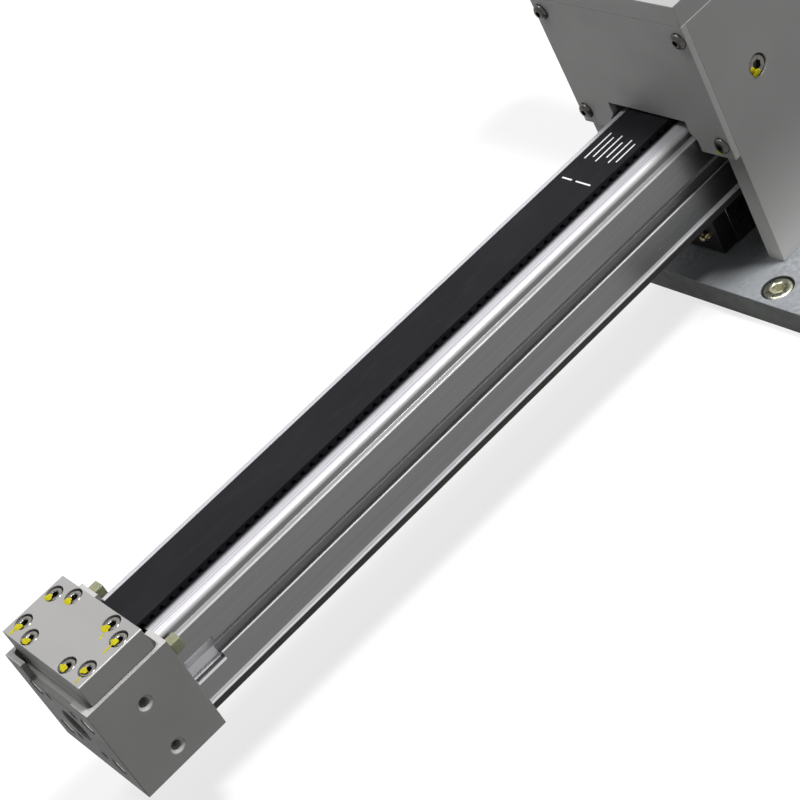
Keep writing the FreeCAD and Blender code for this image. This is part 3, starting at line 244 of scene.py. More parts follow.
def drift(tree, scale, low=0.35, high=0.65, detail=2.0, stretch=(1, 1, 1)):
    """Place the soft patches in a material. Return their mask."""
    values = {"Scale": scale, "Stretch": stretch, "Detail": detail, "Low": low, "High": high}
    return put(tree, "Group", values, node_tree=group(make_drift)).outputs["Mask"]


def grain(tree, scale, depth, strength=0.5, stretch=(1, 1, 1), normal=None):
    """Place the grain in a material as a bump. Return its normal."""
    made = put(tree, "Group", {"Scale": scale, "Stretch": stretch}, node_tree=group(make_grain))
    values = {"Height": made.outputs["Height"], "Distance": depth, "Strength": strength}
    if normal is not None:
        values["Normal"] = normal
    return put(tree, "Bump", values).outputs["Normal"]


def rgba(colour, level=1.0):
    """A colour with its alpha, made lighter or darker."""
    return (colour[0] * level, colour[1] * level, colour[2] * level, 1.0)


def new_material(name, **constants):
    """Start a material. Return it with its tree."""
    material = bpy.data.materials.new(name)
    material.use_nodes = True
    tree = material.node_tree
    shader = tree.nodes["Principled BSDF"]
    for socket, constant in constants.items():
        shader.inputs[socket.replace("_", " ")].default_value = constant
    return material, tree


def clouded(tree, colour, dark, light, *patches):
    """A colour with soft darker and lighter patches."""
    return blend_colours(tree, drift(tree, *patches), rgba(colour, dark), rgba(colour, light))


def uneven(tree, level, spread, *patches):
    """A level that drifts up and down by half its spread."""
    return blend_levels(tree, drift(tree, *patches), level - spread / 2, level + spread / 2)


def connect(material, colour, rough, normal, **more):
    """Feed a material's shader. Return the material."""
    tree = material.node_tree
    for name, socket in {"Base Color": colour, "Roughness": rough, "Normal": normal, **more}.items():
        tree.links.new(socket, tree.nodes["Principled BSDF"].inputs[name])
    return material


# Finishes


def satin_alloy(name, colour, rough, metal=0.75, gloss=0.5):
    """Anodised aluminium: even satin with faint clouds and a fine etched grain."""
    material, tree = new_material(name, Metallic=metal, Specular_IOR_Level=gloss)
    tone = clouded(tree, colour, 0.95, 1.06, 22.0, 0.3, 0.7, 3.0)
    level = uneven(tree, rough, 0.06, 90.0, 0.35, 0.75, 4.0)
    return connect(material, tone, level, grain(tree, 2600.0, 0.02 * MM, 0.35))


# Milled blocks, in millimetres: |x| of the end faces with painted shade, z of the rim with painted light,
# |x|, |y| and z inside the pockets with painted light, |y| and z of the clamp plates' upper edges with a painted highlight
PAINTED_SHADE_ENDS = ((408.9, 409.1), (170.9, 171.1))
PAINTED_LIGHT_RIM = (83.1, 83.4)
POCKETS = ((371.5, 406.5), (133.5, 168.5))
POCKET_SIDE = (0.0, 29.6)
POCKET_HEIGHT = (75.1, 81.9)
CLAMP_SIDE = (29.14, 29.4)
PAINTED_HIGHLIGHT_BROW = (93.15, 93.7)


def milled_alloy(name, colour):
    """End blocks and clamps: satin, painted shade on the end faces, painted light on the rim and in the
    pockets, a painted highlight on the clamp edge.
    """
    material, tree = new_material(name, Metallic=0.02, Specular_IOR_Level=0.05)
    tone = clouded(tree, colour, 0.95, 1.06, 22.0, 0.3, 0.7, 3.0, (1, 0.5, 1))
    # Painted shade on the blocks' end faces
    faces = either(tree, *[stripe(tree, ALONG, *span) for span in PAINTED_SHADE_ENDS])
    tone = blend_colours(tree, faces, tone, rgba(colour, 0.66))
    ends = either(tree, *[stripe(tree, ALONG, *span) for span in POCKETS])
    within = overlap(tree, ends, stripe(tree, ACROSS, *POCKET_SIDE))
    around = math_node(tree, "SUBTRACT", 1.0, within)
    # Painted light on the blocks' top rim round the pockets
    rim = overlap(tree, around, stripe(tree, UPWARDS, *PAINTED_LIGHT_RIM))
    tone = blend_colours(tree, rim, tone, rgba(colour, 1.5))
    # Painted light inside the pockets under the clamp plates
    painted_light_pocket = overlap(tree, within, stripe(tree, UPWARDS, *POCKET_HEIGHT))
    tone = blend_colours(tree, painted_light_pocket, tone, rgba(colour, 1.6))
    # Painted highlight along the clamp plates' upper edges
    edge = overlap(tree, stripe(tree, UPWARDS, *PAINTED_HIGHLIGHT_BROW), stripe(tree, ACROSS, *CLAMP_SIDE))
    tone = blend_colours(tree, edge, tone, rgba(colour, 3.4))
    level = uneven(tree, 0.5, 0.08, 90.0, 0.35, 0.75, 4.0, (1, 0.5, 1))
    return connect(material, tone, level, grain(tree, 2600.0, 0.02 * MM, 0.35, (1, 0.5, 1)))


# Head, in millimetres: |y| of the lid's sides, z of the lid and of the painted highlight in its seam, and
# z of the painted light on the plates' foot, with its long, soft end
LID_SIDE = (45.9, 46.5)
LID = (137.2, 147.5)
PAINTED_SEAM_HIGHLIGHT = (137.0, 137.3)
PAINTED_GLOW_FOOT = (0.0, 16.0, 62.0)


def casing_plate(name, colour):
    """Anodised plates of the head, darker on the lid's sides, with painted light low down and a painted
    highlight along the lid's lower edges.
    """
    material, tree = new_material(name, Metallic=0.1, Specular_IOR_Level=0.25)
    tone = clouded(tree, colour, 0.96, 1.05, 18.0, 0.3, 0.7, 3.0)
    flank = stripe(tree, ACROSS, *LID_SIDE)
    lid = overlap(tree, flank, stripe(tree, UPWARDS, *LID))
    tone = blend_colours(tree, lid, tone, rgba(colour, 0.74))
    # Painted highlight along the lid's lower edge, where it meets the side plates
    painted_seam_highlight = overlap(tree, flank, stripe(tree, UPWARDS, *PAINTED_SEAM_HIGHLIGHT))
    tone = blend_colours(tree, painted_seam_highlight, tone, (0.8, 0.8, 0.78, 1.0))
    # Painted light low on the plates, for the light that the base plate throws up
    painted_base_glow = math_node(tree, "POWER", stripe(tree, UPWARDS, *PAINTED_GLOW_FOOT), 2.2)
    tone = blend_colours(tree, painted_base_glow, tone, (0.66, 0.66, 0.64, 1.0))
    level = uneven(tree, 0.54, 0.08, 80.0, 0.35, 0.75, 4.0)
    return connect(material, tone, level, grain(tree, 2600.0, 0.02 * MM, 0.35))


# z of the base plate's sawn edges, with their softness, in millimetres
BASE_EDGES = (0.0, 11.5, 0.2)


def plated_base(name, colour):
    """Base plate: mottled blue-grey zinc on top, darker sawn edges."""
    material, tree = new_material(name, Metallic=0.04, Specular_IOR_Level=0.12)
    tone = clouded(tree, colour, 0.84, 1.18, 420.0, 0.36, 0.64, 4.0)
    tone = blend_colours(tree, drift(tree, 60.0), tone, rgba(colour, 1.08))
    sawn = drift(tree, 300.0, 0.3, 0.7, 3.0, (1, 0.15, 1))
    dark = blend_colours(tree, sawn, (0.075, 0.08, 0.075, 1.0), (0.11, 0.118, 0.11, 1.0))
    tone = blend_colours(tree, stripe(tree, UPWARDS, *BASE_EDGES), tone, dark)
    level = uneven(tree, 0.45, 0.14, 300.0, 0.35, 0.65, 3.0)
    lines = grain(tree, 900.0, 0.02 * MM, 0.3, (0.15, 1.6, 1))
    return connect(material, tone, level, grain(tree, 2200.0, 0.02 * MM, 0.3, (1, 1, 1), lines))


# Profile, in millimetres: |y| and z inside the side slots, |y| of the slots' backs, |x| of the nut-entry
# windows, z of the windows' sills, all where light is painted, and z of the shoulders, most with a
# softness
SLOT_DEPTH = (16.0, 22.8, 0.2)
SLOT_HEIGHT = (52.5, 65.6, 0.3)
SLOT_BACK = (17.9, 18.1)
NUT_ENTRY = (353.0, 367.4)
SILL = (51.9, 53.0, 0.15)
SHOULDER = (78.9, 84.0, 0.3)

# Painted highlights of the profile, one of them a painted dark line on the slots' lower lips: lowest and
# highest z, softness, lowest |y|, level
PAINTED_HIGHLIGHTS = [
    (78.9, 84.0, 1.0, 0.0, 0.64),
    (75.6, 76.5, 0.15, 22.5, 0.34),
    (75.6, 76.1, 0.1, 24.2, 0.55),
    (55.5, 55.9, 0.1, 22.8, 0.1),
    (55.4, 55.9, 0.1, 24.35, 0.9),
    (41.0, 43.0, 0.7, 20.0, 1.1),
    (40.9, 41.6, 0.15, 20.0, 1.4),
]

# Fine lavender lines along the shoulders, and the painted shade beside the belt with its soft end: |y|
SHOULDER_LINES = (17.2, 18.5)
PAINTED_BELT_SHADE = (0.0, 13.0, 3.0)


def painted_slot_light(tree, tone, bright):
    """Paint light into the side slots, onto their backs and into the nut-entry windows. Return colour and
    mask.
    """
    slot = overlap(tree, stripe(tree, ACROSS, *SLOT_DEPTH), stripe(tree, UPWARDS, *SLOT_HEIGHT))
    # Painted light inside the slots, and more on their backs, in the nut-entry windows and on their sills
    tone = blend_colours(tree, slot, tone, rgba(bright, 0.42))
    entry = stripe(tree, ALONG, *NUT_ENTRY)
    back = overlap(tree, slot, stripe(tree, ACROSS, *SLOT_BACK))
    sill = overlap(tree, entry, stripe(tree, UPWARDS, *SILL))
    for mask in (back, overlap(tree, slot, entry), sill):
        tone = blend_colours(tree, mask, tone, rgba(bright, 1.3))
    return tone, either(tree, slot, sill)


def extruded_alloy(name, colour, bright):
    """Extruded profile: satin sides with die streaks, painted highlights on shoulders, lips and lower
    edges, painted light in the slots and painted shade beside the belt.
    """
    material, tree = new_material(name, Specular_IOR_Level=0.3)
    tone = clouded(tree, colour, 0.95, 1.05, 700.0, 0.3, 0.7, 2.0, (0.01, 1, 1))
    tone, dull = painted_slot_light(tree, tone, bright)
    # Painted highlights on the shoulders, the lips and the lower edges, and one painted dark line on the
    # slots' lower lips
    for low, high, soft, inner, level in PAINTED_HIGHLIGHTS:
        mask = stripe(tree, UPWARDS, low, high, soft)
        if inner:
            mask = overlap(tree, mask, stripe(tree, ACROSS, inner, 26.0))
        dull = either(tree, dull, mask)
        tone = blend_colours(tree, mask, tone, rgba(bright, level))
    for place in SHOULDER_LINES:
        line = stripe(tree, ACROSS, place - 0.14, place + 0.14, 0.15)
        line = overlap(tree, line, stripe(tree, UPWARDS, *SHOULDER))
        tone = blend_colours(tree, line, tone, (0.30, 0.28, 0.35, 1.0))
    # Painted shade on the profile's top beside the belt
    painted_shade_by_belt = math_node(tree, "POWER", stripe(tree, ACROSS, *PAINTED_BELT_SHADE), 1.6)
    tone = blend_colours(tree, painted_shade_by_belt, tone, (0.03, 0.03, 0.036, 1.0))
    metal = blend_levels(tree, dull, 0.85, 0.2)
    level = uneven(tree, 0.305, 0.07, 60.0, 0.35, 0.7, 3.0, (0.1, 1, 1))
    lines = grain(tree, 5000.0, 0.01 * MM, 0.4, (0.004, 1, 1))
    normal = grain(tree, 2600.0, 0.02 * MM, 0.25, (1, 1, 1), lines)
    return connect(material, tone, level, normal, Metallic=metal)


def steel(name, colour, rough, spread=0.12, scale=250.0, stretch=(1, 1, 1)):
    """Bare or plated steel: cloudy, with turning or grinding marks."""
    material, tree = new_material(name, Metallic=1.0)
    tone = clouded(tree, colour, 0.82, 1.1, scale, 0.35, 0.65, 3.0)
    level = uneven(tree, rough, spread, scale * 2.1, 0.3, 0.7, 2.0)
    return connect(material, tone, level, grain(tree, 3000.0, 0.015 * MM, 0.4, stretch))


def yellow_plate(name):
    """Yellow passivated zinc: brass-like patches with green and rose tints."""
    material, tree = new_material(name, Metallic=1.0)
    patches = drift(tree, 420.0, 0.38, 0.62, 3.0)
    tone = blend_colours(tree, patches, (0.56, 0.55, 0.42, 1.0), (0.74, 0.73, 0.62, 1.0))
    tints = drift(tree, 650.0, 0.55, 0.75, 2.0)
    tone = blend_colours(tree, tints, tone, (0.50, 0.53, 0.43, 1.0))
    level = blend_levels(tree, drift(tree, 900.0, 0.3, 0.7, 2.0), 0.24, 0.4)
    return connect(material, tone, level, grain(tree, 3000.0, 0.015 * MM, 0.35))


def moulded(name, colour, rough):
    """Moulded plastic or rubber: matte, with a fine sparked skin."""
    material, tree = new_material(name, Metallic=0.0, Specular_IOR_Level=0.2)
    tone = clouded(tree, colour, 0.85, 1.2, 120.0, 0.3, 0.7, 3.0)
    level = uneven(tree, rough, 0.14, 260.0)
    return connect(material, tone, level, grain(tree, 2400.0, 0.05 * MM, 0.5))


def belt_skin(name, colour):
    """Belt polyurethane: near-black, faintly dusty, with long drawing lines."""
    material, tree = new_material(name, Metallic=0.0, Specular_IOR_Level=0.05)
    tone = clouded(tree, colour, 1.0, 1.6, 180.0, 0.5, 0.8, 4.0, (0.3, 1, 1))
    level = uneven(tree, 0.615, 0.13, 90.0, 0.35, 0.65, 3.0, (0.3, 1, 1))
    lines = grain(tree, 1800.0, 0.03 * MM, 0.4, (0.05, 1, 1))
    return connect(material, tone, level, grain(tree, 3500.0, 0.03 * MM, 0.4, (1, 1, 1), lines))


def pad_rubber(name, colour):
    """Translucent polyurethane of the bumper pads."""
    material, tree = new_material(
        name,
        Metallic=0.0,
        Subsurface_Weight=0.5,
        Subsurface_Scale=2 * MM,
        Transmission_Weight=0.15,
        IOR=1.45,
    )
    tone = clouded(tree, colour, 0.9, 1.15, 300.0, 0.3, 0.7)
    level = uneven(tree, 0.34, 0.12, 500.0)
    return connect(material, tone, level, grain(tree, 2500.0, 0.02 * MM, 0.4))


def laminated(name, colour):
    """Motor stack: black coat over thin steel sheets."""
    material, tree = new_material(name, Metallic=0.0, Coat_Weight=0.2, Coat_Roughness=0.35)
    tone = clouded(tree, colour, 0.85, 1.2, 60.0, 0.35, 0.65, 3.0)
    waves = {"Vector": object_spot(tree), "Scale": 330.0, "Distortion": 0.4, "Detail": 1.0}
    sheets = put(tree, "TexWave", waves, wave_type="BANDS", bands_direction="Y")
    ridges = {"Height": sheets.outputs["Fac"], "Distance": 0.06 * MM, "Strength": 0.8}
    under = put(tree, "Bump", ridges).outputs["Normal"]
    normal = grain(tree, 2000.0, 0.04 * MM, 0.4, (1, 1, 1), under)
    return connect(material, tone, uneven(tree, 0.485, 0.13, 200.0), normal)


def wet_paint(name, colour):
    """Thick marking paint, uneven, with a dull skin."""
    material, tree = new_material(name, Metallic=0.0, Specular_IOR_Level=0.1)
    tone = clouded(tree, colour, 0.8, 1.1, 900.0, 0.35, 0.65, 3.0)
    level = uneven(tree, 0.525, 0.15, 700.0)
    return connect(material, tone, level, grain(tree, 1500.0, 0.08 * MM, 0.5))


def worn_print(name):
    """White print on the belt, slightly rubbed."""
    material, tree = new_material(name, Metallic=0.0)
    rubbed = drift(tree, 900.0, 0.55, 0.75, 3.0)
    tone = blend_colours(tree, rubbed, (0.62, 0.62, 0.62, 1.0), (0.25, 0.25, 0.26, 1.0))
    level = blend_levels(tree, rubbed, 0.5, 0.65)
    return connect(material, tone, level, grain(tree, 2500.0, 0.02 * MM, 0.3))


FINISHES = {}


def looks(tint):
    """How each finish is made: its function, then what that takes after the name."""
    return {
        "base_alloy": (plated_base, tint.base),
        "casing_alloy": (casing_plate, tint.casing),
        # Painted shade: the side plates take a darker copy of the casing's finish
        "side_alloy": (casing_plate, tint.casing * 0.78),
        "profile_alloy": (extruded_alloy, tint.rail, tint.shoulders),
        "block_alloy": (milled_alloy, tint.blocks),
        # Painted light: a lighter copy of the blocks' alloy for the threads inside the tapped holes
        "thread_alloy": (satin_alloy, (0.46, 0.46, 0.45), 0.5, 0.0, 0.1),
        # Painted shade: darker steel on the cover screws, for the dark surroundings that they reflect
        "button_steel": (steel, (0.065, 0.063, 0.06), 0.28, 0.14, 700.0),
        # Painted shade: a dark finish for the strips that stand in for the shade under the profile
        "strip_black": (moulded, (0.055, 0.053, 0.049), 0.5),
        "roller_alloy": (steel, (0.42, 0.42, 0.43), 0.28),
        "screw_steel": (steel, (0.34, 0.34, 0.33), 0.26, 0.12, 500.0),
        "clamp_steel": (steel, (0.13, 0.125, 0.115), 0.24, 0.16, 700.0),
        "yellow_zinc": (yellow_plate,),
        "ground_steel": (steel, (0.16, 0.16, 0.165), 0.24, 0.1, 120.0, (0.05, 1, 1)),
        "turned_steel": (steel, (0.38, 0.38, 0.38), 0.24, 0.1, 200.0, (1, 0.1, 1)),
        "brass": (steel, (0.26, 0.22, 0.13), 0.3, 0.12, 600.0),
        "black_plastic": (moulded, (0.009, 0.009, 0.01), 0.42),
        "belt_black": (belt_skin, tint.belt),
        "pad_rubber": (pad_rubber, tint.pads),
        "spider_rubber": (moulded, (0.40, 0.03, 0.025), 0.4),
        "motor_black": (laminated, (0.022, 0.022, 0.025)),
        "motor_metal": (satin_alloy, (0.30, 0.30, 0.31), 0.4),
        "marking_paint": (wet_paint, tint.paint),
        "belt_print": (worn_print,),
    }


def finish(name):
    """A named finish, made the first time it is asked for."""
    if name not in FINISHES:
        maker, *values = looks(bpy.context.scene.axis_colours)[name]
        FINISHES[name] = maker(name, *values)
    return FINISHES[name]


# Mesh helpers


def as_mesh(bm, name, angle=32.0):
    """Turn a bmesh into a mesh with smooth faces and sharp edges past an angle."""
    mesh = bpy.data.meshes.new(name)
    bm.to_mesh(mesh)
    bm.free()
    mesh.polygons.foreach_set("use_smooth", [True] * len(mesh.polygons))
    mesh.set_sharp_from_angle(angle=math.radians(angle))
    return mesh


def closed(bm):
    """Merge doubles and point the faces outwards."""
    bmesh.ops.remove_doubles(bm, verts=bm.verts, dist=0.002 * MM)
    bmesh.ops.recalc_face_normals(bm, faces=bm.faces)
    return bm


def show(name, mesh, body, look, slot, *nodes):
    """Make a finished piece: give it its finish and its body, and hide the nodes that it stands for."""
    thing = bpy.data.objects.new(name, mesh)
    bpy.context.scene.collection.objects.link(thing)
    mesh.materials.append(finish(look))
    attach(thing, body)
    if nodes:
        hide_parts(*nodes)
    return thing


def ease(thing, width, segments=2, angle=34.0):
    """Break the sharp edges of a piece."""
    bevel = thing.modifiers.new("eased edges", "BEVEL")
    bevel.width = width
    bevel.segments = segments
    bevel.limit_method = "ANGLE"
    bevel.angle_limit = math.radians(angle)
    bevel.use_clamp_overlap = False
    even = thing.modifiers.new("even flat faces", "WEIGHTED_NORMAL")
    even.keep_sharp = True
    return thing


def merged_copy(node):
    """A copy of a CAD node's mesh with its triangles merged into whole faces."""
    bm = bmesh.new()
    bm.from_mesh(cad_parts[node].data)
    bmesh.ops.remove_doubles(bm, verts=bm.verts, dist=0.002 * MM)
    bmesh.ops.dissolve_limit(bm, angle_limit=math.radians(1.0), verts=bm.verts, edges=bm.edges)
    return bm


def eased_copy(node, body, look, width=None, segments=2, finish_name=None):
    """Stand-in for a machined node: the same solid with its edges broken."""
    name = node + "_eased"
    if width is None:
        width = bpy.context.scene.axis_sizes.edge
    thing = show(name, as_mesh(merged_copy(node), name), body, finish_name or look, look, node)
    return ease(thing, width, segments)


def dress(node, look):
    """Give a CAD node that stays its finish."""
    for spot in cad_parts[node].material_slots:
        spot.material = finish(look)


def grown(bm, first):
    """Every vertex that a bmesh got after its first so many."""
    bm.verts.ensure_lookup_table()
    return bm.verts[first:]


def add_box(bm, size, middle):
    """Add a box of a size about its middle."""
    made = bmesh.ops.create_cube(bm, size=1.0)
    bmesh.ops.scale(bm, vec=size, verts=made["verts"])
    bmesh.ops.translate(bm, vec=middle, verts=made["verts"])


def rounded(bm, radius, segments):
    """Round every edge of a bmesh."""
    bmesh.ops.bevel(
        bm,
        geom=bm.edges[:],
        offset=radius,
        offset_type="OFFSET",
        affect="EDGES",
        segments=segments,
        profile=0.5,
        material=-1,
    )


def spun(bm, geom, angle, steps, step, whole):
    """Turn or shift geometry about Z in steps, as a skin or as whole copies."""
    bmesh.ops.spin(
        bm,
        geom=geom,
        cent=(0, 0, 0),
        axis=(0, 0, 1),
        dvec=(step, 0, 0),
        angle=angle,
        steps=steps,
        use_merge=not whole,
        use_duplicate=whole,
    )


def repeated(bm, step, count):
    """Repeat all that a bmesh holds along x, so that it is there so many times."""
    spun(bm, bm.verts[:] + bm.edges[:] + bm.faces[:], 0.0, count - 1, step, True)


def lathe(bm, outline, steps=48):
    """Turn an outline of (radius, height) points, in millimetres, about Z."""
    first = len(bm.verts)
    verts = [bm.verts.new((radius * MM, 0, height * MM)) for radius, height in outline]
    edges = [bm.edges.new(pair) for pair in zip(verts, verts[1:])]
    spun(bm, verts + edges, TURN, steps, 0, False)
    return grown(bm, first)


def ring(verts, radius):
    """The vertices at a radius, in millimetres, with their bearing about Z."""
    for vert in verts:
        if abs(math.hypot(vert.co.x, vert.co.y) - radius * MM) <= 0.02 * MM:
            yield vert, math.atan2(vert.co.y, vert.co.x)


def hexagonal(verts, radius):
    """Draw a ring of vertices at a radius in to the flats of a hexagon."""
    for vert, way in ring(verts, radius):
        flat = math.cos(TURN / 12) / math.cos(way % (TURN / 6) - TURN / 12)
        vert.co.x *= flat
        vert.co.y *= flat


# Depth of a cap screw's ridges as a share of the head's radius
KNURL = 0.022


def knurled(verts, radius):
    """Press fine ridges into the side of a cap screw's head."""
    for vert, way in ring(verts, radius):
        if round(way / (TURN / 48)) % 2:
            vert.co.x *= 1 - KNURL
            vert.co.y *= 1 - KNURL


def shank_outline(shank, length):
    """Outline of a screw's shank from the head's underside down."""
    return [(shank, 0), (shank, 0.4 - length), (shank - 0.4, -length), (0, -length)]


def cap_screw(head, high, shank, length, key, deep):
    """Template of a socket head cap screw that stands on z = 0, in millimetres."""
    bm = bmesh.new()
    rim = 0.09 * head
    socket = [(0, high - deep - 0.25 * key), (key * 0.85, high - deep), (key, high - deep)]
    top = [(key, high - 0.25), (key + 0.25, high), (head - rim - 0.15, high), (head - rim, high - 0.05)]
    side = [(head - 0.05, high - rim), (head, high - rim - 0.1), (head, 0.35), (head - 0.3, 0)]
    verts = lathe(bm, socket + top + side + shank_outline(shank, length))
    hexagonal(verts, key)
    knurled(verts, head)
    return as_mesh(closed(bm), "cap screw template")


# Dome of a button head: radius and height as shares of the head's
DOME = [(0.52, 0.985), (0.72, 0.86), (0.88, 0.62), (0.97, 0.34), (1.0, 0.16)]


def button_screw(head, high, shank, length, key, deep):
    """Template of a button head screw that stands on z = 0, in millimetres."""
    bm = bmesh.new()
    socket = [(0, high - deep - 0.2 * key), (key, high - deep), (key, high - 0.12), (key + 0.12, high)]
    dome = [(head * out, high * up) for out, up in DOME] + [(head - 0.08, 0)]
    hexagonal(lathe(bm, socket + dome + shank_outline(shank, length)), key)
    return as_mesh(closed(bm), "button screw template")


def islands(node):
    """Lowest and highest corners of each separate solid in a CAD node."""
    bm = bmesh.new()
    bm.from_mesh(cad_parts[node].data)
    bmesh.ops.remove_doubles(bm, verts=bm.verts, dist=0.002 * MM)
    left = set(bm.verts)
    boxes = []
    while left:
        found = {left.pop()}
        edge_of_find = set(found)
        while edge_of_find:
            near = {edge.other_vert(vert) for vert in edge_of_find for edge in vert.link_edges}
            edge_of_find = near - found
            found |= edge_of_find
        left -= found
        spots = [vert.co for vert in found]
        low = Vector([min(spot[axis] for spot in spots) for axis in range(3)])
        high = Vector([max(spot[axis] for spot in spots) for axis in range(3)])
        boxes.append((low, high))
    bm.free()
    return sorted(boxes, key=lambda box: tuple(round(c, 5) for c in box[0]))


def seat_of(box, towards, head_high):
    """Where the underside of a screw's head sits in its box."""
    low, high = box
    middle = (low + high) / 2
    axis = max(range(3), key=lambda index: abs(towards[index]))
    outer = high[axis] if towards[axis] > 0 else low[axis]
    middle[axis] = outer - towards[axis] * head_high
    return middle


def placed(template, places):
    """A bmesh with a copy of the template at each (spot, direction, turn)."""
    bm = bmesh.new()
    for spot, towards, turn in places:
        first = len(bm.verts)
        bm.from_mesh(template)
        aim = Vector((0, 0, 1)).rotation_difference(Vector(towards)).to_matrix().to_4x4()
        matrix = Matrix.Translation(spot) @ aim @ Matrix.Rotation(turn, 4, "Z")
        bmesh.ops.transform(bm, matrix=matrix, verts=grown(bm, first))
    return bm


def away(box, axis, fixed=0):
    """Direction along an axis away from the middle, or always the given way."""
    sign = fixed or (1 if (box[0] + box[1])[axis] > 0 else -1)
    return tuple(sign if index == axis else 0 for index in range(3))


def screw_pieces(node, body, template, head_high, aim, look, finish_name=None):
    """Stand-ins for the screws of one CAD node, in a finish of their own if one is named."""
    places = []
    for number, box in enumerate(islands(node)):
        way = away(box, *aim)
        turn = math.radians((number * 37 + 11) % 60)
        places.append((seat_of(box, way, head_high * MM), way, turn))
    name = node + "_detailed"
    mesh = as_mesh(placed(template, places), name)
    show(name, mesh, body, finish_name or look, look, node)


# Operators, one for each piece or group of like pieces


# Softboxes by the name of their power: name, place and size in metres
SOFTBOXES = {
    "key": ("rear softbox", (0.15, 1.25, 1.15), (1.7, 1.1)),
    "top": ("overhead softbox", (0.25, -0.39, 1.54), (0.32, 0.32)),
    "fill": ("front softbox", (-0.38, 0.3, 1.35), (0.4, 0.4)),
}
AXIS_MIDDLE = Vector((-0.1, 0, 0.08))

# Camera: focal length and sensor in millimetres, place in metres, turn in degrees
LENS, SENSOR = 98.8357, 36
CAMERA_PLACE = (-0.5017, -0.66157, 0.57538)
CAMERA_TURN = (50.46, 24.185, -41.123)


class AXIS_OT_stage(bpy.types.Operator):
    """Make the floor, the sky, the softboxes and the camera"""

    bl_idname = "axis.stage"
    bl_label = "Stage"

    def execute(self, context):
        light = context.scene.axis_light
        context.scene.view_settings.view_transform = "Standard"
        make_sky(light.sky)
        make_floor()
        for power, (name, place, size) in SOFTBOXES.items():
            make_softbox(name, place, size, getattr(light, power))
        make_camera()
        return {"FINISHED"}


def seen_directly(tree):
    """1 for rays that show the background: camera, mirror and glass rays."""
    path = put(tree, "LightPath")
    both = math_node(tree, "MAXIMUM", path.outputs["Is Camera Ray"], path.outputs["Is Glossy Ray"])
    return math_node(tree, "MAXIMUM", both, path.outputs["Is Transmission Ray"])


def make_sky(level):
    """Even light from all round, white where it is seen."""
    world = bpy.data.worlds.new("studio")
    bpy.context.scene.world = world
    world.use_nodes = True
    tree = world.node_tree
    strength = blend_levels(tree, seen_directly(tree), level, 1.0)
    tree.links.new(strength, tree.nodes["Background"].inputs["Strength"])
    tree.nodes["Background"].inputs["Color"].default_value = (1, 1, 1, 1)


def make_floor():
    """Plain white floor under the base plate that keeps the shadow."""
    bm = bmesh.new()
    bmesh.ops.create_grid(bm, x_segments=2, y_segments=2, size=6.0)
    mesh = bpy.data.meshes.new("floor")
    bm.to_mesh(mesh)
    bm.free()
    floor = bpy.data.objects.new("floor", mesh)
    bpy.context.scene.collection.objects.link(floor)
    material = bpy.data.materials.new("floor paper")
    material.use_nodes = True
    tree = material.node_tree
    tree.nodes.remove(tree.nodes["Principled BSDF"])
    paper = put(tree, "BsdfDiffuse", {"Color": (0.26, 0.26, 0.26, 1.0)})
    lift = blend_levels(tree, seen_directly(tree), 0.0, 0.74)
    glow = put(tree, "Emission", {"Strength": lift})
    both = put(tree, "AddShader", {0: paper.outputs[0], 1: glow.outputs[0]})
    tree.links.new(both.outputs[0], tree.nodes["Material Output"].inputs["Surface"])
    mesh.materials.append(material)


def make_softbox(name, spot, size, power):
    """Rectangular lamp that faces the middle of the axis."""
    lamp = bpy.data.lights.new(name, "AREA")
    lamp.shape = "RECTANGLE"
    lamp.size, lamp.size_y = size
    lamp.energy = power
    thing = bpy.data.objects.new(name, lamp)
    thing.location = spot
    thing.rotation_euler = (AXIS_MIDDLE - Vector(spot)).to_track_quat("-Z", "Y").to_euler()
    bpy.context.scene.collection.objects.link(thing)


def make_camera():
    """Camera at the photograph's angle."""
    lens = bpy.data.cameras.new("camera")
    lens.lens = LENS
    lens.sensor_width = SENSOR
    camera = bpy.data.objects.new("camera", lens)
    camera.location = CAMERA_PLACE
    camera.rotation_euler = [math.radians(angle) for angle in CAMERA_TURN]
    bpy.context.scene.collection.objects.link(camera)
    bpy.context.scene.camera = camera


class AXIS_OT_casing(bpy.types.Operator):
    """Ease the edges of the base plate and of the head's plates"""

    bl_idname = "axis.casing"
    bl_label = "Base and casing"

    def execute(self, context):
        eased_copy("base_plate", "head", "base_alloy")
        for node in ("side_plate_right", "side_plate_left"):
            eased_copy(node, "head", "casing_alloy", finish_name="side_alloy")
        eased_copy("top_plate", "head", "casing_alloy")
        for node in ("front_cover", "rear_cover"):
            eased_copy(node, "head", "casing_alloy", 0.25 * MM)
        return {"FINISHED"}


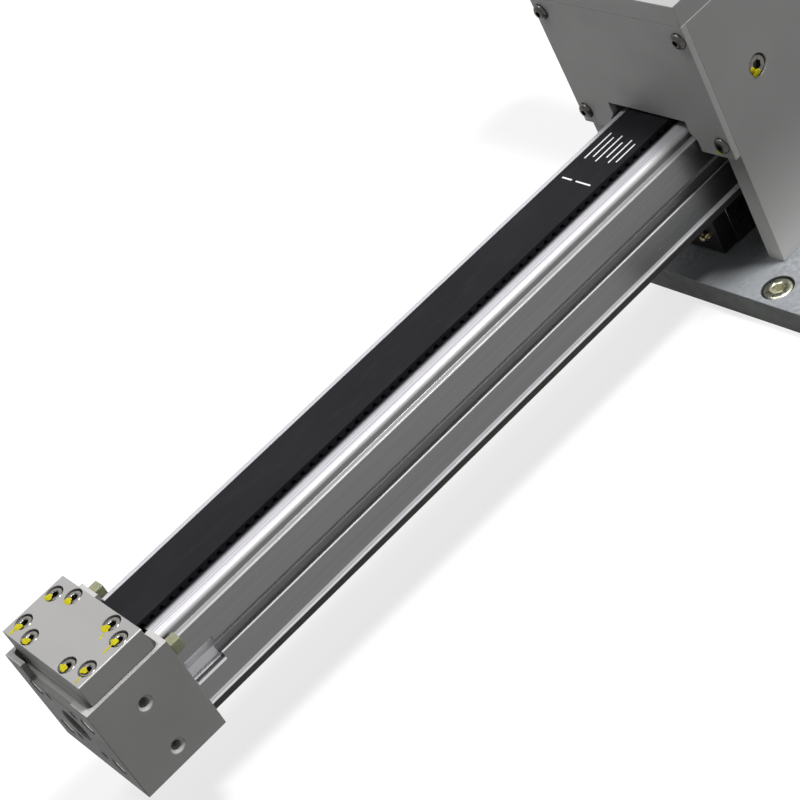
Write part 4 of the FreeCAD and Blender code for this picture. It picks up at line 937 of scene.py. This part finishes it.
class AXIS_OT_screws(bpy.types.Operator):
    """Replace every plain screw by one with a socket, eased edges and a knurled head"""

    bl_idname = "axis.screws"
    bl_label = "Screws"

    def execute(self, context):
        four = cap_screw(3.5, 4, 2, 18, 1.73, 2.2)
        four_long = cap_screw(3.5, 4, 2, 44, 1.73, 2.2)
        four_short = cap_screw(3.5, 4, 2, 12, 1.73, 2.2)
        five = cap_screw(4.25, 5, 2.5, 13, 2.31, 2.6)
        six = cap_screw(5, 6, 3, 18, 2.89, 3.1)
        eight = cap_screw(6.5, 8, 4, 15.6, 3.46, 4.1)
        button = button_screw(3.8, 2.2, 2, 11, 1.44, 1.3)
        up, down, sideways, endways, left = (2, 1), (2, -1), (1,), (0,), (1, 1)
        screw_pieces("base_screws", "head", eight, 8, up, "yellow_zinc")
        screw_pieces("side_plate_screws", "head", six, 6, down, "screw_steel")
        screw_pieces("top_plate_screws", "head", five, 5, up, "screw_steel")
        screw_pieces("cover_screws", "head", button, 2.2, endways, "screw_steel", "button_steel")
        screw_pieces("idler_pin_screws", "head", five, 5, sideways, "screw_steel", "clamp_steel")
        screw_pieces("runner_screws", "head", four_short, 4, down, "screw_steel")
        screw_pieces("guide_rail_screws", "rail", four_short, 4, down, "screw_steel")
        screw_pieces("end_block_screws", "rail", four_long, 4, endways, "screw_steel")
        for end in ("front", "rear"):
            screw_pieces("clamp_screws_" + end, "rail", four, 4, up, "screw_steel", "clamp_steel")
        screw_pieces("adapter_screws", "head", five, 5, left, "screw_steel")
        screw_pieces("motor_screws", "head", four_short, 4, left, "screw_steel")
        return {"FINISHED"}


class AXIS_OT_guide(bpy.types.Operator):
    """Finish the runner blocks, their caps and nipples, and the guide rail"""

    bl_idname = "axis.guide"
    bl_label = "Guide"

    def execute(self, context):
        for end in ("front", "rear"):
            eased_copy(f"runner_block_{end}", "head", "ground_steel", 0.2 * MM)
            eased_copy(f"runner_caps_{end}", "head", "black_plastic", 0.4 * MM, 3)
        eased_copy("guide_rail", "rail", "ground_steel", 0.15 * MM, 1)
        places = []
        for box in islands("grease_nipples"):
            way = away(box, 0)
            spot = (box[0] + box[1]) / 2
            spot.x = box[0].x if way[0] > 0 else box[1].x
            places.append((spot, way, 0.3))
        mesh = as_mesh(placed(nipple_template(), places), "nipples_detailed")
        show("nipples_detailed", mesh, "head", "brass", "brass", "grease_nipples")
        return {"FINISHED"}


def nipple_template():
    """Grease nipple that stands on z = 0: hexagon, neck and ball."""
    bm = bmesh.new()
    across = 2.2
    nut = [(0, 0), (across, 0), (across, 1.7), (1.9, 1.9), (1.35, 1.95)]
    neck = [(1.1, 2.4), (1.15, 2.8), (1.5, 3.1)]
    ball = [(1.55, 3.4), (1.2, 3.8), (0.5, 3.98), (0.35, 3.8), (0, 3.75)]
    hexagonal(lathe(bm, nut + neck + ball), across)
    return as_mesh(closed(bm), "nipple template")


class AXIS_OT_rail(bpy.types.Operator):
    """Finish the extruded profile"""

    bl_idname = "axis.rail"
    bl_label = "Rail"

    def execute(self, context):
        bm = merged_copy("rail_profile")
        square_slot_edge(bm)
        mesh = as_mesh(bm, "rail_profile_eased")
        rail = show(mesh.name, mesh, "rail", "profile_alloy", "profile_alloy", "rail_profile")
        ease(rail, 0.12 * MM, 1)
        # Dark strips that stand in for the shade under the profile's lower edges
        strips = show("rail_edge_strips", shade_strips(), "rail", "strip_black", "black_plastic")
        ease(strips, 0.3 * MM)
        return {"FINISHED"}


# Dark strips that stand in for the shade under the profile's lower edges: middle |y|, width and height, in
# millimetres
SHADE_STRIP = (22.2, 2.0, 2.9)


def shade_strips():
    """A thin dark strip along each lower edge of the profile, from end block to end block, standing in for
    the shade there.
    """
    low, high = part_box("rail_profile")
    middle, width, height = (value * MM for value in SHADE_STRIP)
    bm = bmesh.new()
    for side in (-1, 1):
        spot = ((low.x + high.x) / 2, side * middle, low.z - height / 2 + 0.05 * MM)
        add_box(bm, (high.x - low.x, width, height), spot)
    return as_mesh(bm, "rail_edge_strips")


# The side slots' upper edges, in millimetres: |y| in the solid, |y| almost flush with the side, z
SLOT_EDGE = (24.5, 24.97, 62.5)


def square_slot_edge(bm):
    """Bring the slots' upper edges out flush with the sides, so that no dark line shows there."""
    reach, flush, height = SLOT_EDGE
    for vert in bm.verts:
        if abs(abs(vert.co.y) / MM - reach) < 0.05 and abs(vert.co.z / MM - height) < 0.05:
            vert.co.y = math.copysign(flush * MM, vert.co.y)


# Tapped holes in the end blocks' sides, in millimetres: heights above the block's underside, then
# thread radius, pitch, depth and start
SIDE_HOLES = (33.8, 8.5)
SIDE_THREAD = (2.5, 1.0, 8.0, 0.8)


class AXIS_OT_end_blocks(bpy.types.Operator):
    """Finish the end blocks and belt clamps, and cut threads in the tapped holes"""

    bl_idname = "axis.end_blocks"
    bl_label = "End blocks and clamps"

    def execute(self, context):
        for end in ("front", "rear"):
            eased_copy(f"end_block_{end}", "rail", "block_alloy", 0.28 * MM)
            eased_copy(f"clamp_jaw_{end}", "rail", "block_alloy", 0.1 * MM, 1)
            eased_copy(f"clamp_plate_{end}", "rail", "block_alloy", 0.16 * MM)
            low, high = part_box(f"end_block_{end}")
            middle = (low.x + high.x) / 2
            side, edge = (-1, low.y) if end == "front" else (1, high.y)
            spots = [Vector((middle, edge, low.z + height * MM)) for height in SIDE_HOLES]
            places = [(spot, (0, side, 0), 0.0) for spot in spots]
            mesh = as_mesh(placed(thread_template(*SIDE_THREAD), places), "side_threads_" + end)
            show("side_threads_" + end, mesh, "rail", "thread_alloy", "block_alloy")
        return {"FINISHED"}


def thread_template(radius, pitch, depth, start):
    """Thread ridges inside a tapped hole that opens at z = 0 and goes down."""
    bm = bmesh.new()
    lip, wall, root, crest = radius + 0.67, radius - 0.01, radius - 0.05, radius - 0.35
    outline = [(lip, 0.06 - start), (lip, 0.74 - start), (root, -start)]
    turns = int((depth - start) / pitch)
    for number in range(turns):
        top = -start - number * pitch
        outline += [(crest, top - 0.45 * pitch), (crest, top - 0.55 * pitch), (root, top - pitch)]
    outline += [(wall, -start - turns * pitch), (wall, 0.06 - start), (lip, 0.06 - start)]
    lathe(bm, outline, 32)
    return as_mesh(closed(bm), "thread template")


class AXIS_OT_belt(bpy.types.Operator):
    """Make the toothed belt on the rail, with its worn white marks"""

    bl_idname = "axis.belt"
    bl_label = "Belt"

    def execute(self, context):
        sizes = context.scene.axis_sizes
        front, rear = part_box("belt_run_front"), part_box("belt_run_rear")
        start, stop = front[0].x, rear[1].x
        mesh = as_mesh(toothed_strip(start, stop, front, sizes), "belt_on_rail", 25.0)
        runs = ("belt_run_front", "belt_run_rear")
        belt = show("belt_on_rail", mesh, "rail", "belt_black", "belt_black", *runs)
        ease(belt, 0.12 * MM, 1)
        mesh = as_mesh(marks(front[1].z), "belt_marks")
        show("belt_marks", mesh, "rail", "belt_print", "belt_black")
        dress("belt_loop", "belt_black")
        return {"FINISHED"}


# Half the width of a belt tooth at its root and at its tip
TOOTH_ROOT, TOOTH_TIP = 1.8 * MM, 1.3 * MM


def toothed_strip(start, stop, box, sizes):
    """Belt from start to stop: one cell with its tooth, repeated."""
    pitch = sizes.belt_pitch
    top, tip = box[1].z, box[0].z
    land = tip + sizes.belt_tooth
    tooth = [
        (pitch / 2 - TOOTH_ROOT, land),
        (pitch / 2 - TOOTH_TIP, tip),
        (pitch / 2 + TOOTH_TIP, tip),
        (pitch / 2 + TOOTH_ROOT, land),
    ]
    across = [(0.0, top), (0.0, land), *tooth, (pitch, land), (pitch, top)]
    bm = bmesh.new()
    verts = [bm.verts.new((start + x, box[0].y, z)) for x, z in across]
    side = bm.faces.new(verts)
    made = bmesh.ops.extrude_face_region(bm, geom=[side], use_keep_orig=True)
    moved = [item for item in made["geom"] if isinstance(item, bmesh.types.BMVert)]
    bmesh.ops.translate(bm, vec=(0, box[1].y - box[0].y, 0), verts=moved)
    for end in (start, start + pitch):
        joints = [face for face in bm.faces if abs(face.calc_center_median().x - end) < MM / 10]
        bmesh.ops.delete(bm, geom=joints, context="FACES_ONLY")
    repeated(bm, pitch, round((stop - start) / pitch))
    bmesh.ops.remove_doubles(bm, verts=bm.verts, dist=0.01 * MM)
    rims = [edge for edge in bm.edges if edge.is_boundary]
    bmesh.ops.holes_fill(bm, edges=rims, sides=4)
    bmesh.ops.recalc_face_normals(bm, faces=bm.faces)
    return bm


MARKS = [
    # middle x and y, length and width, in millimetres
    (-90.0, 8.0, 17.0, 0.7),
    (-90.0, 4.6, 13.0, 0.7),
    (-90.0, 1.2, 17.0, 0.7),
    (-90.0, -2.2, 10.0, 0.7),
    (-90.0, -5.6, 15.0, 0.7),
    (-90.0, -9.0, 12.0, 0.7),
    (-111.5, 6.0, 0.8, 6.0),
    (-111.5, -4.0, 0.8, 9.0),
]


def marks(top):
    """Plain white dashes on the belt's back."""
    bm = bmesh.new()
    for x, y, length, width in MARKS:
        add_box(bm, (length * MM, width * MM, 0.05 * MM), (x * MM, y * MM, top))
    return bm


# How far the pads' soft top edge lies below the CAD solid's
PAD_DROP = 2.0 * MM


class AXIS_OT_pads(bpy.types.Operator):
    """Make the rounded bumper pads"""

    bl_idname = "axis.pads"
    bl_label = "Bumper pads"

    def execute(self, context):
        radius = context.scene.axis_sizes.pad_round
        for end in ("front", "rear"):
            bm = bmesh.new()
            for low, high in islands(f"bumper_pads_{end}"):
                high.z -= PAD_DROP
                add_box(bm, high - low, (low + high) / 2)
            rounded(bm, radius, 3)
            name = f"bumper_pads_{end}_rounded"
            mesh = as_mesh(closed(bm), name, 60.0)
            show(name, mesh, "rail", "pad_rubber", "pad_rubber", f"bumper_pads_{end}")
        return {"FINISHED"}


class AXIS_OT_paint(bpy.types.Operator):
    """Dab marking paint beside the set screws"""

    bl_idname = "axis.paint"
    bl_label = "Marking paint"

    def execute(self, context):
        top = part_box("clamp_plate_front")[1].z
        chance = random.Random(7)
        bm = bmesh.new()
        for x, y, length, width, turn in CLAMP_DABS:
            dab(bm, (x * MM, y * MM, top - 0.05 * MM), (length, width, 0.5), turn, chance)
        mesh = as_mesh(bm, "clamp_paint", 70.0)
        show("clamp_paint", mesh, "rail", "marking_paint", None)
        bm = bmesh.new()
        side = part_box("side_plate_right")[0].y
        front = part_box("front_cover")[0].x
        for x, z, size in SIDE_DABS:
            dab(bm, (x * MM, side + 0.1 * MM, z * MM), size, 0, chance)
        y, z, size = COVER_DAB
        dab(bm, (front - 0.5 * MM, y * MM, z * MM), size, 0, chance)
        show("head_paint", as_mesh(bm, "head_paint", 70.0), "head", "marking_paint", None)
        return {"FINISHED"}


# Dabs on the head: x and z on the side plate, then y and z on the front cover, each with its size
SIDE_DABS = [(-41.4, 95.2, (4.6, 1.2, 3.0)), (-42.6, 97.4, (2.4, 1.2, 3.0))]
COVER_DAB = (-39.4, 73.4, (1.6, 3.6, 2.0))

CLAMP_DABS = [
    # x, y, length, width in millimetres, and turn in degrees
    (-383.7, 25.0, 3.4, 4.0, 10),
    (-380.6, 14.5, 3.2, 4.4, -8),
    (-399.6, 24.2, 3.4, 4.2, 10),
    (-402.4, 24.6, 3.6, 1.6, 5),
    (-402.1, 14.2, 3.0, 4.6, 12),
    (-380.9, -14.2, 3.6, 4.8, 0),
    (-384.4, -16.4, 3.0, 1.0, 25),
    (-383.0, -23.9, 3.0, 4.0, 5),
    (-386.6, -24.2, 5.4, 1.2, 3),
    (-401.7, -14.0, 3.0, 4.6, -10),
    (-398.1, -23.8, 2.8, 3.8, 8),
    (-402.2, -25.4, 4.2, 0.9, 10),
]


def dab(bm, spot, size, turn, chance):
    """One flat, uneven blob of paint."""
    first = len(bm.verts)
    bmesh.ops.create_icosphere(bm, subdivisions=3, radius=0.5 * MM)
    verts = grown(bm, first)
    phase = chance.uniform(0, TURN)
    for vert in verts:
        way = math.atan2(vert.co.y, vert.co.x)
        swell = 1 + 0.12 * math.sin(3 * way + phase) + 0.07 * math.sin(5 * way + 2 * phase)
        vert.co.x *= swell
        vert.co.y *= swell
    bmesh.ops.scale(bm, vec=size, verts=verts)
    matrix = Matrix.Translation(spot) @ Matrix.Rotation(math.radians(turn), 4, "Z")
    bmesh.ops.transform(bm, matrix=matrix, verts=verts)


class AXIS_OT_drive(bpy.types.Operator):
    """Finish the pulley, idlers, shaft, bearings and coupling inside the head"""

    bl_idname = "axis.drive"
    bl_label = "Drive"

    def execute(self, context):
        for look, nodes in DRIVE_LOOKS.items():
            for node in nodes:
                dress(node, look)
        return {"FINISHED"}


DRIVE_LOOKS = {
    "roller_alloy": ["drive_pulley", "idler_spacers", "coupling_hub_shaft", "coupling_hub_motor"],
    "screw_steel": ["pulley_flanges"],
    "turned_steel": ["drive_shaft", "shaft_key", "motor_shaft"],
    "ground_steel": ["shaft_bearing_right", "shaft_bearing_left"],
    "spider_rubber": ["coupling_spider"],
}
for end in ("front", "rear"):
    DRIVE_LOOKS["turned_steel"].append("idler_roller_" + end)
    DRIVE_LOOKS["ground_steel"] += ["idler_pin_" + end, "idler_bearings_" + end]


class AXIS_OT_motor(bpy.types.Operator):
    """Finish the motor, its adapter and its socket"""

    bl_idname = "axis.motor"
    bl_label = "Motor"

    def execute(self, context):
        eased_copy("motor_adapter", "head", "casing_alloy", 0.4 * MM)
        eased_copy("motor_bell", "head", "motor_metal", 0.5 * MM, 3)
        eased_copy("motor_stack", "head", "motor_black", 0.2 * MM)
        eased_copy("motor_rear_cap", "head", "motor_metal", 0.9 * MM, 3)
        black = "black_plastic"
        show("motor_socket_detailed", socket_mesh(), "head", black, black, "motor_socket")
        show("motor_rear_ring", rear_ring_mesh(), "head", "motor_metal", "motor_metal")
        show("motor_pins", pin_mesh(), "head", "screw_steel", "screw_steel")
        return {"FINISHED"}


def socket_mesh():
    """Connector body with an open top."""
    low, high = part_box("motor_socket")
    bm = bmesh.new()
    add_box(bm, high - low, (low + high) / 2)
    lid = max(bm.faces, key=lambda face: face.calc_center_median().z)
    bmesh.ops.inset_region(bm, faces=[lid], thickness=1.0 * MM)
    bmesh.ops.translate(bm, vec=(0, 0, -6 * MM), verts=lid.verts)
    bmesh.ops.recalc_face_normals(bm, faces=bm.faces)
    rounded(bm, 0.25 * MM, 2)
    return as_mesh(bm, "motor_socket_detailed")


# Contact pins: width, length and spacing in millimetres, and how many
PIN_WIDTH, PIN_LENGTH, PIN_PITCH, PINS = 0.64, 5.0, 2.4, 5


def pin_mesh():
    """A row of square contact pins in the connector."""
    low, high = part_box("motor_socket")
    bm = bmesh.new()
    spot = Vector((low.x + 2.2 * MM, (low.y + high.y) / 2, high.z - 4 * MM))
    add_box(bm, (PIN_WIDTH * MM, PIN_WIDTH * MM, PIN_LENGTH * MM), spot)
    repeated(bm, PIN_PITCH * MM, PINS)
    return as_mesh(bm, "motor_pins")


def rear_ring_mesh():
    """Raised ring round the rear bearing of the motor."""
    low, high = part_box("motor_rear_cap")
    bm = bmesh.new()
    rim = [(0, -0.5), (13, -0.5), (13, 0.5), (12.5, 0.9), (9.5, 0.9)]
    floor = [(9, 0.4), (4, 0.4), (3.5, 0.0), (0, 0.0)]
    lathe(bm, rim + floor, 64)
    closed(bm)
    aim = Matrix.Rotation(-TURN / 4, 4, "X")
    spot = Vector(((low.x + high.x) / 2, high.y, (low.z + high.z) / 2))
    bmesh.ops.transform(bm, matrix=Matrix.Translation(spot) @ aim, verts=bm.verts)
    return as_mesh(bm, "motor_rear_ring")


class AXIS_PT_panel(bpy.types.Panel):
    """Steps that dress the axis, with its sizes, colours and light"""

    bl_idname = "AXIS_PT_panel"
    bl_label = "Linear axis"
    bl_space_type = "VIEW_3D"
    bl_region_type = "UI"
    bl_category = "Linear axis"

    def draw(self, context):
        for step in STEPS:
            self.layout.operator("axis." + step)
        for group_name in VALUES:
            values = getattr(context.scene, group_name)
            for name in values.__annotations__:
                self.layout.prop(values, name)


STEPS = ["stage", "casing", "screws", "guide", "rail", "end_blocks", "belt", "pads", "paint"]
STEPS += ["drive", "motor"]

VALUES = {"axis_sizes": AxisSizes, "axis_colours": AxisColours, "axis_light": AxisLight}

CLASSES = [*VALUES.values(), AXIS_OT_stage, AXIS_OT_casing, AXIS_OT_screws, AXIS_OT_guide]
CLASSES += [AXIS_OT_rail, AXIS_OT_end_blocks, AXIS_OT_belt, AXIS_OT_pads, AXIS_OT_paint]
CLASSES += [AXIS_OT_drive, AXIS_OT_motor, AXIS_PT_panel]


def register():
    for cls in CLASSES:
        bpy.utils.register_class(cls)
    for name, cls in VALUES.items():
        setattr(bpy.types.Scene, name, bpy.props.PointerProperty(type=cls))


def unregister():
    for name in VALUES:
        delattr(bpy.types.Scene, name)
    for cls in reversed(CLASSES):
        bpy.utils.unregister_class(cls)


def main():
    """Register the classes, then run every step."""
    register()
    for step in STEPS:
        getattr(bpy.ops.axis, step)()


if __name__ == "__main__":
    main()
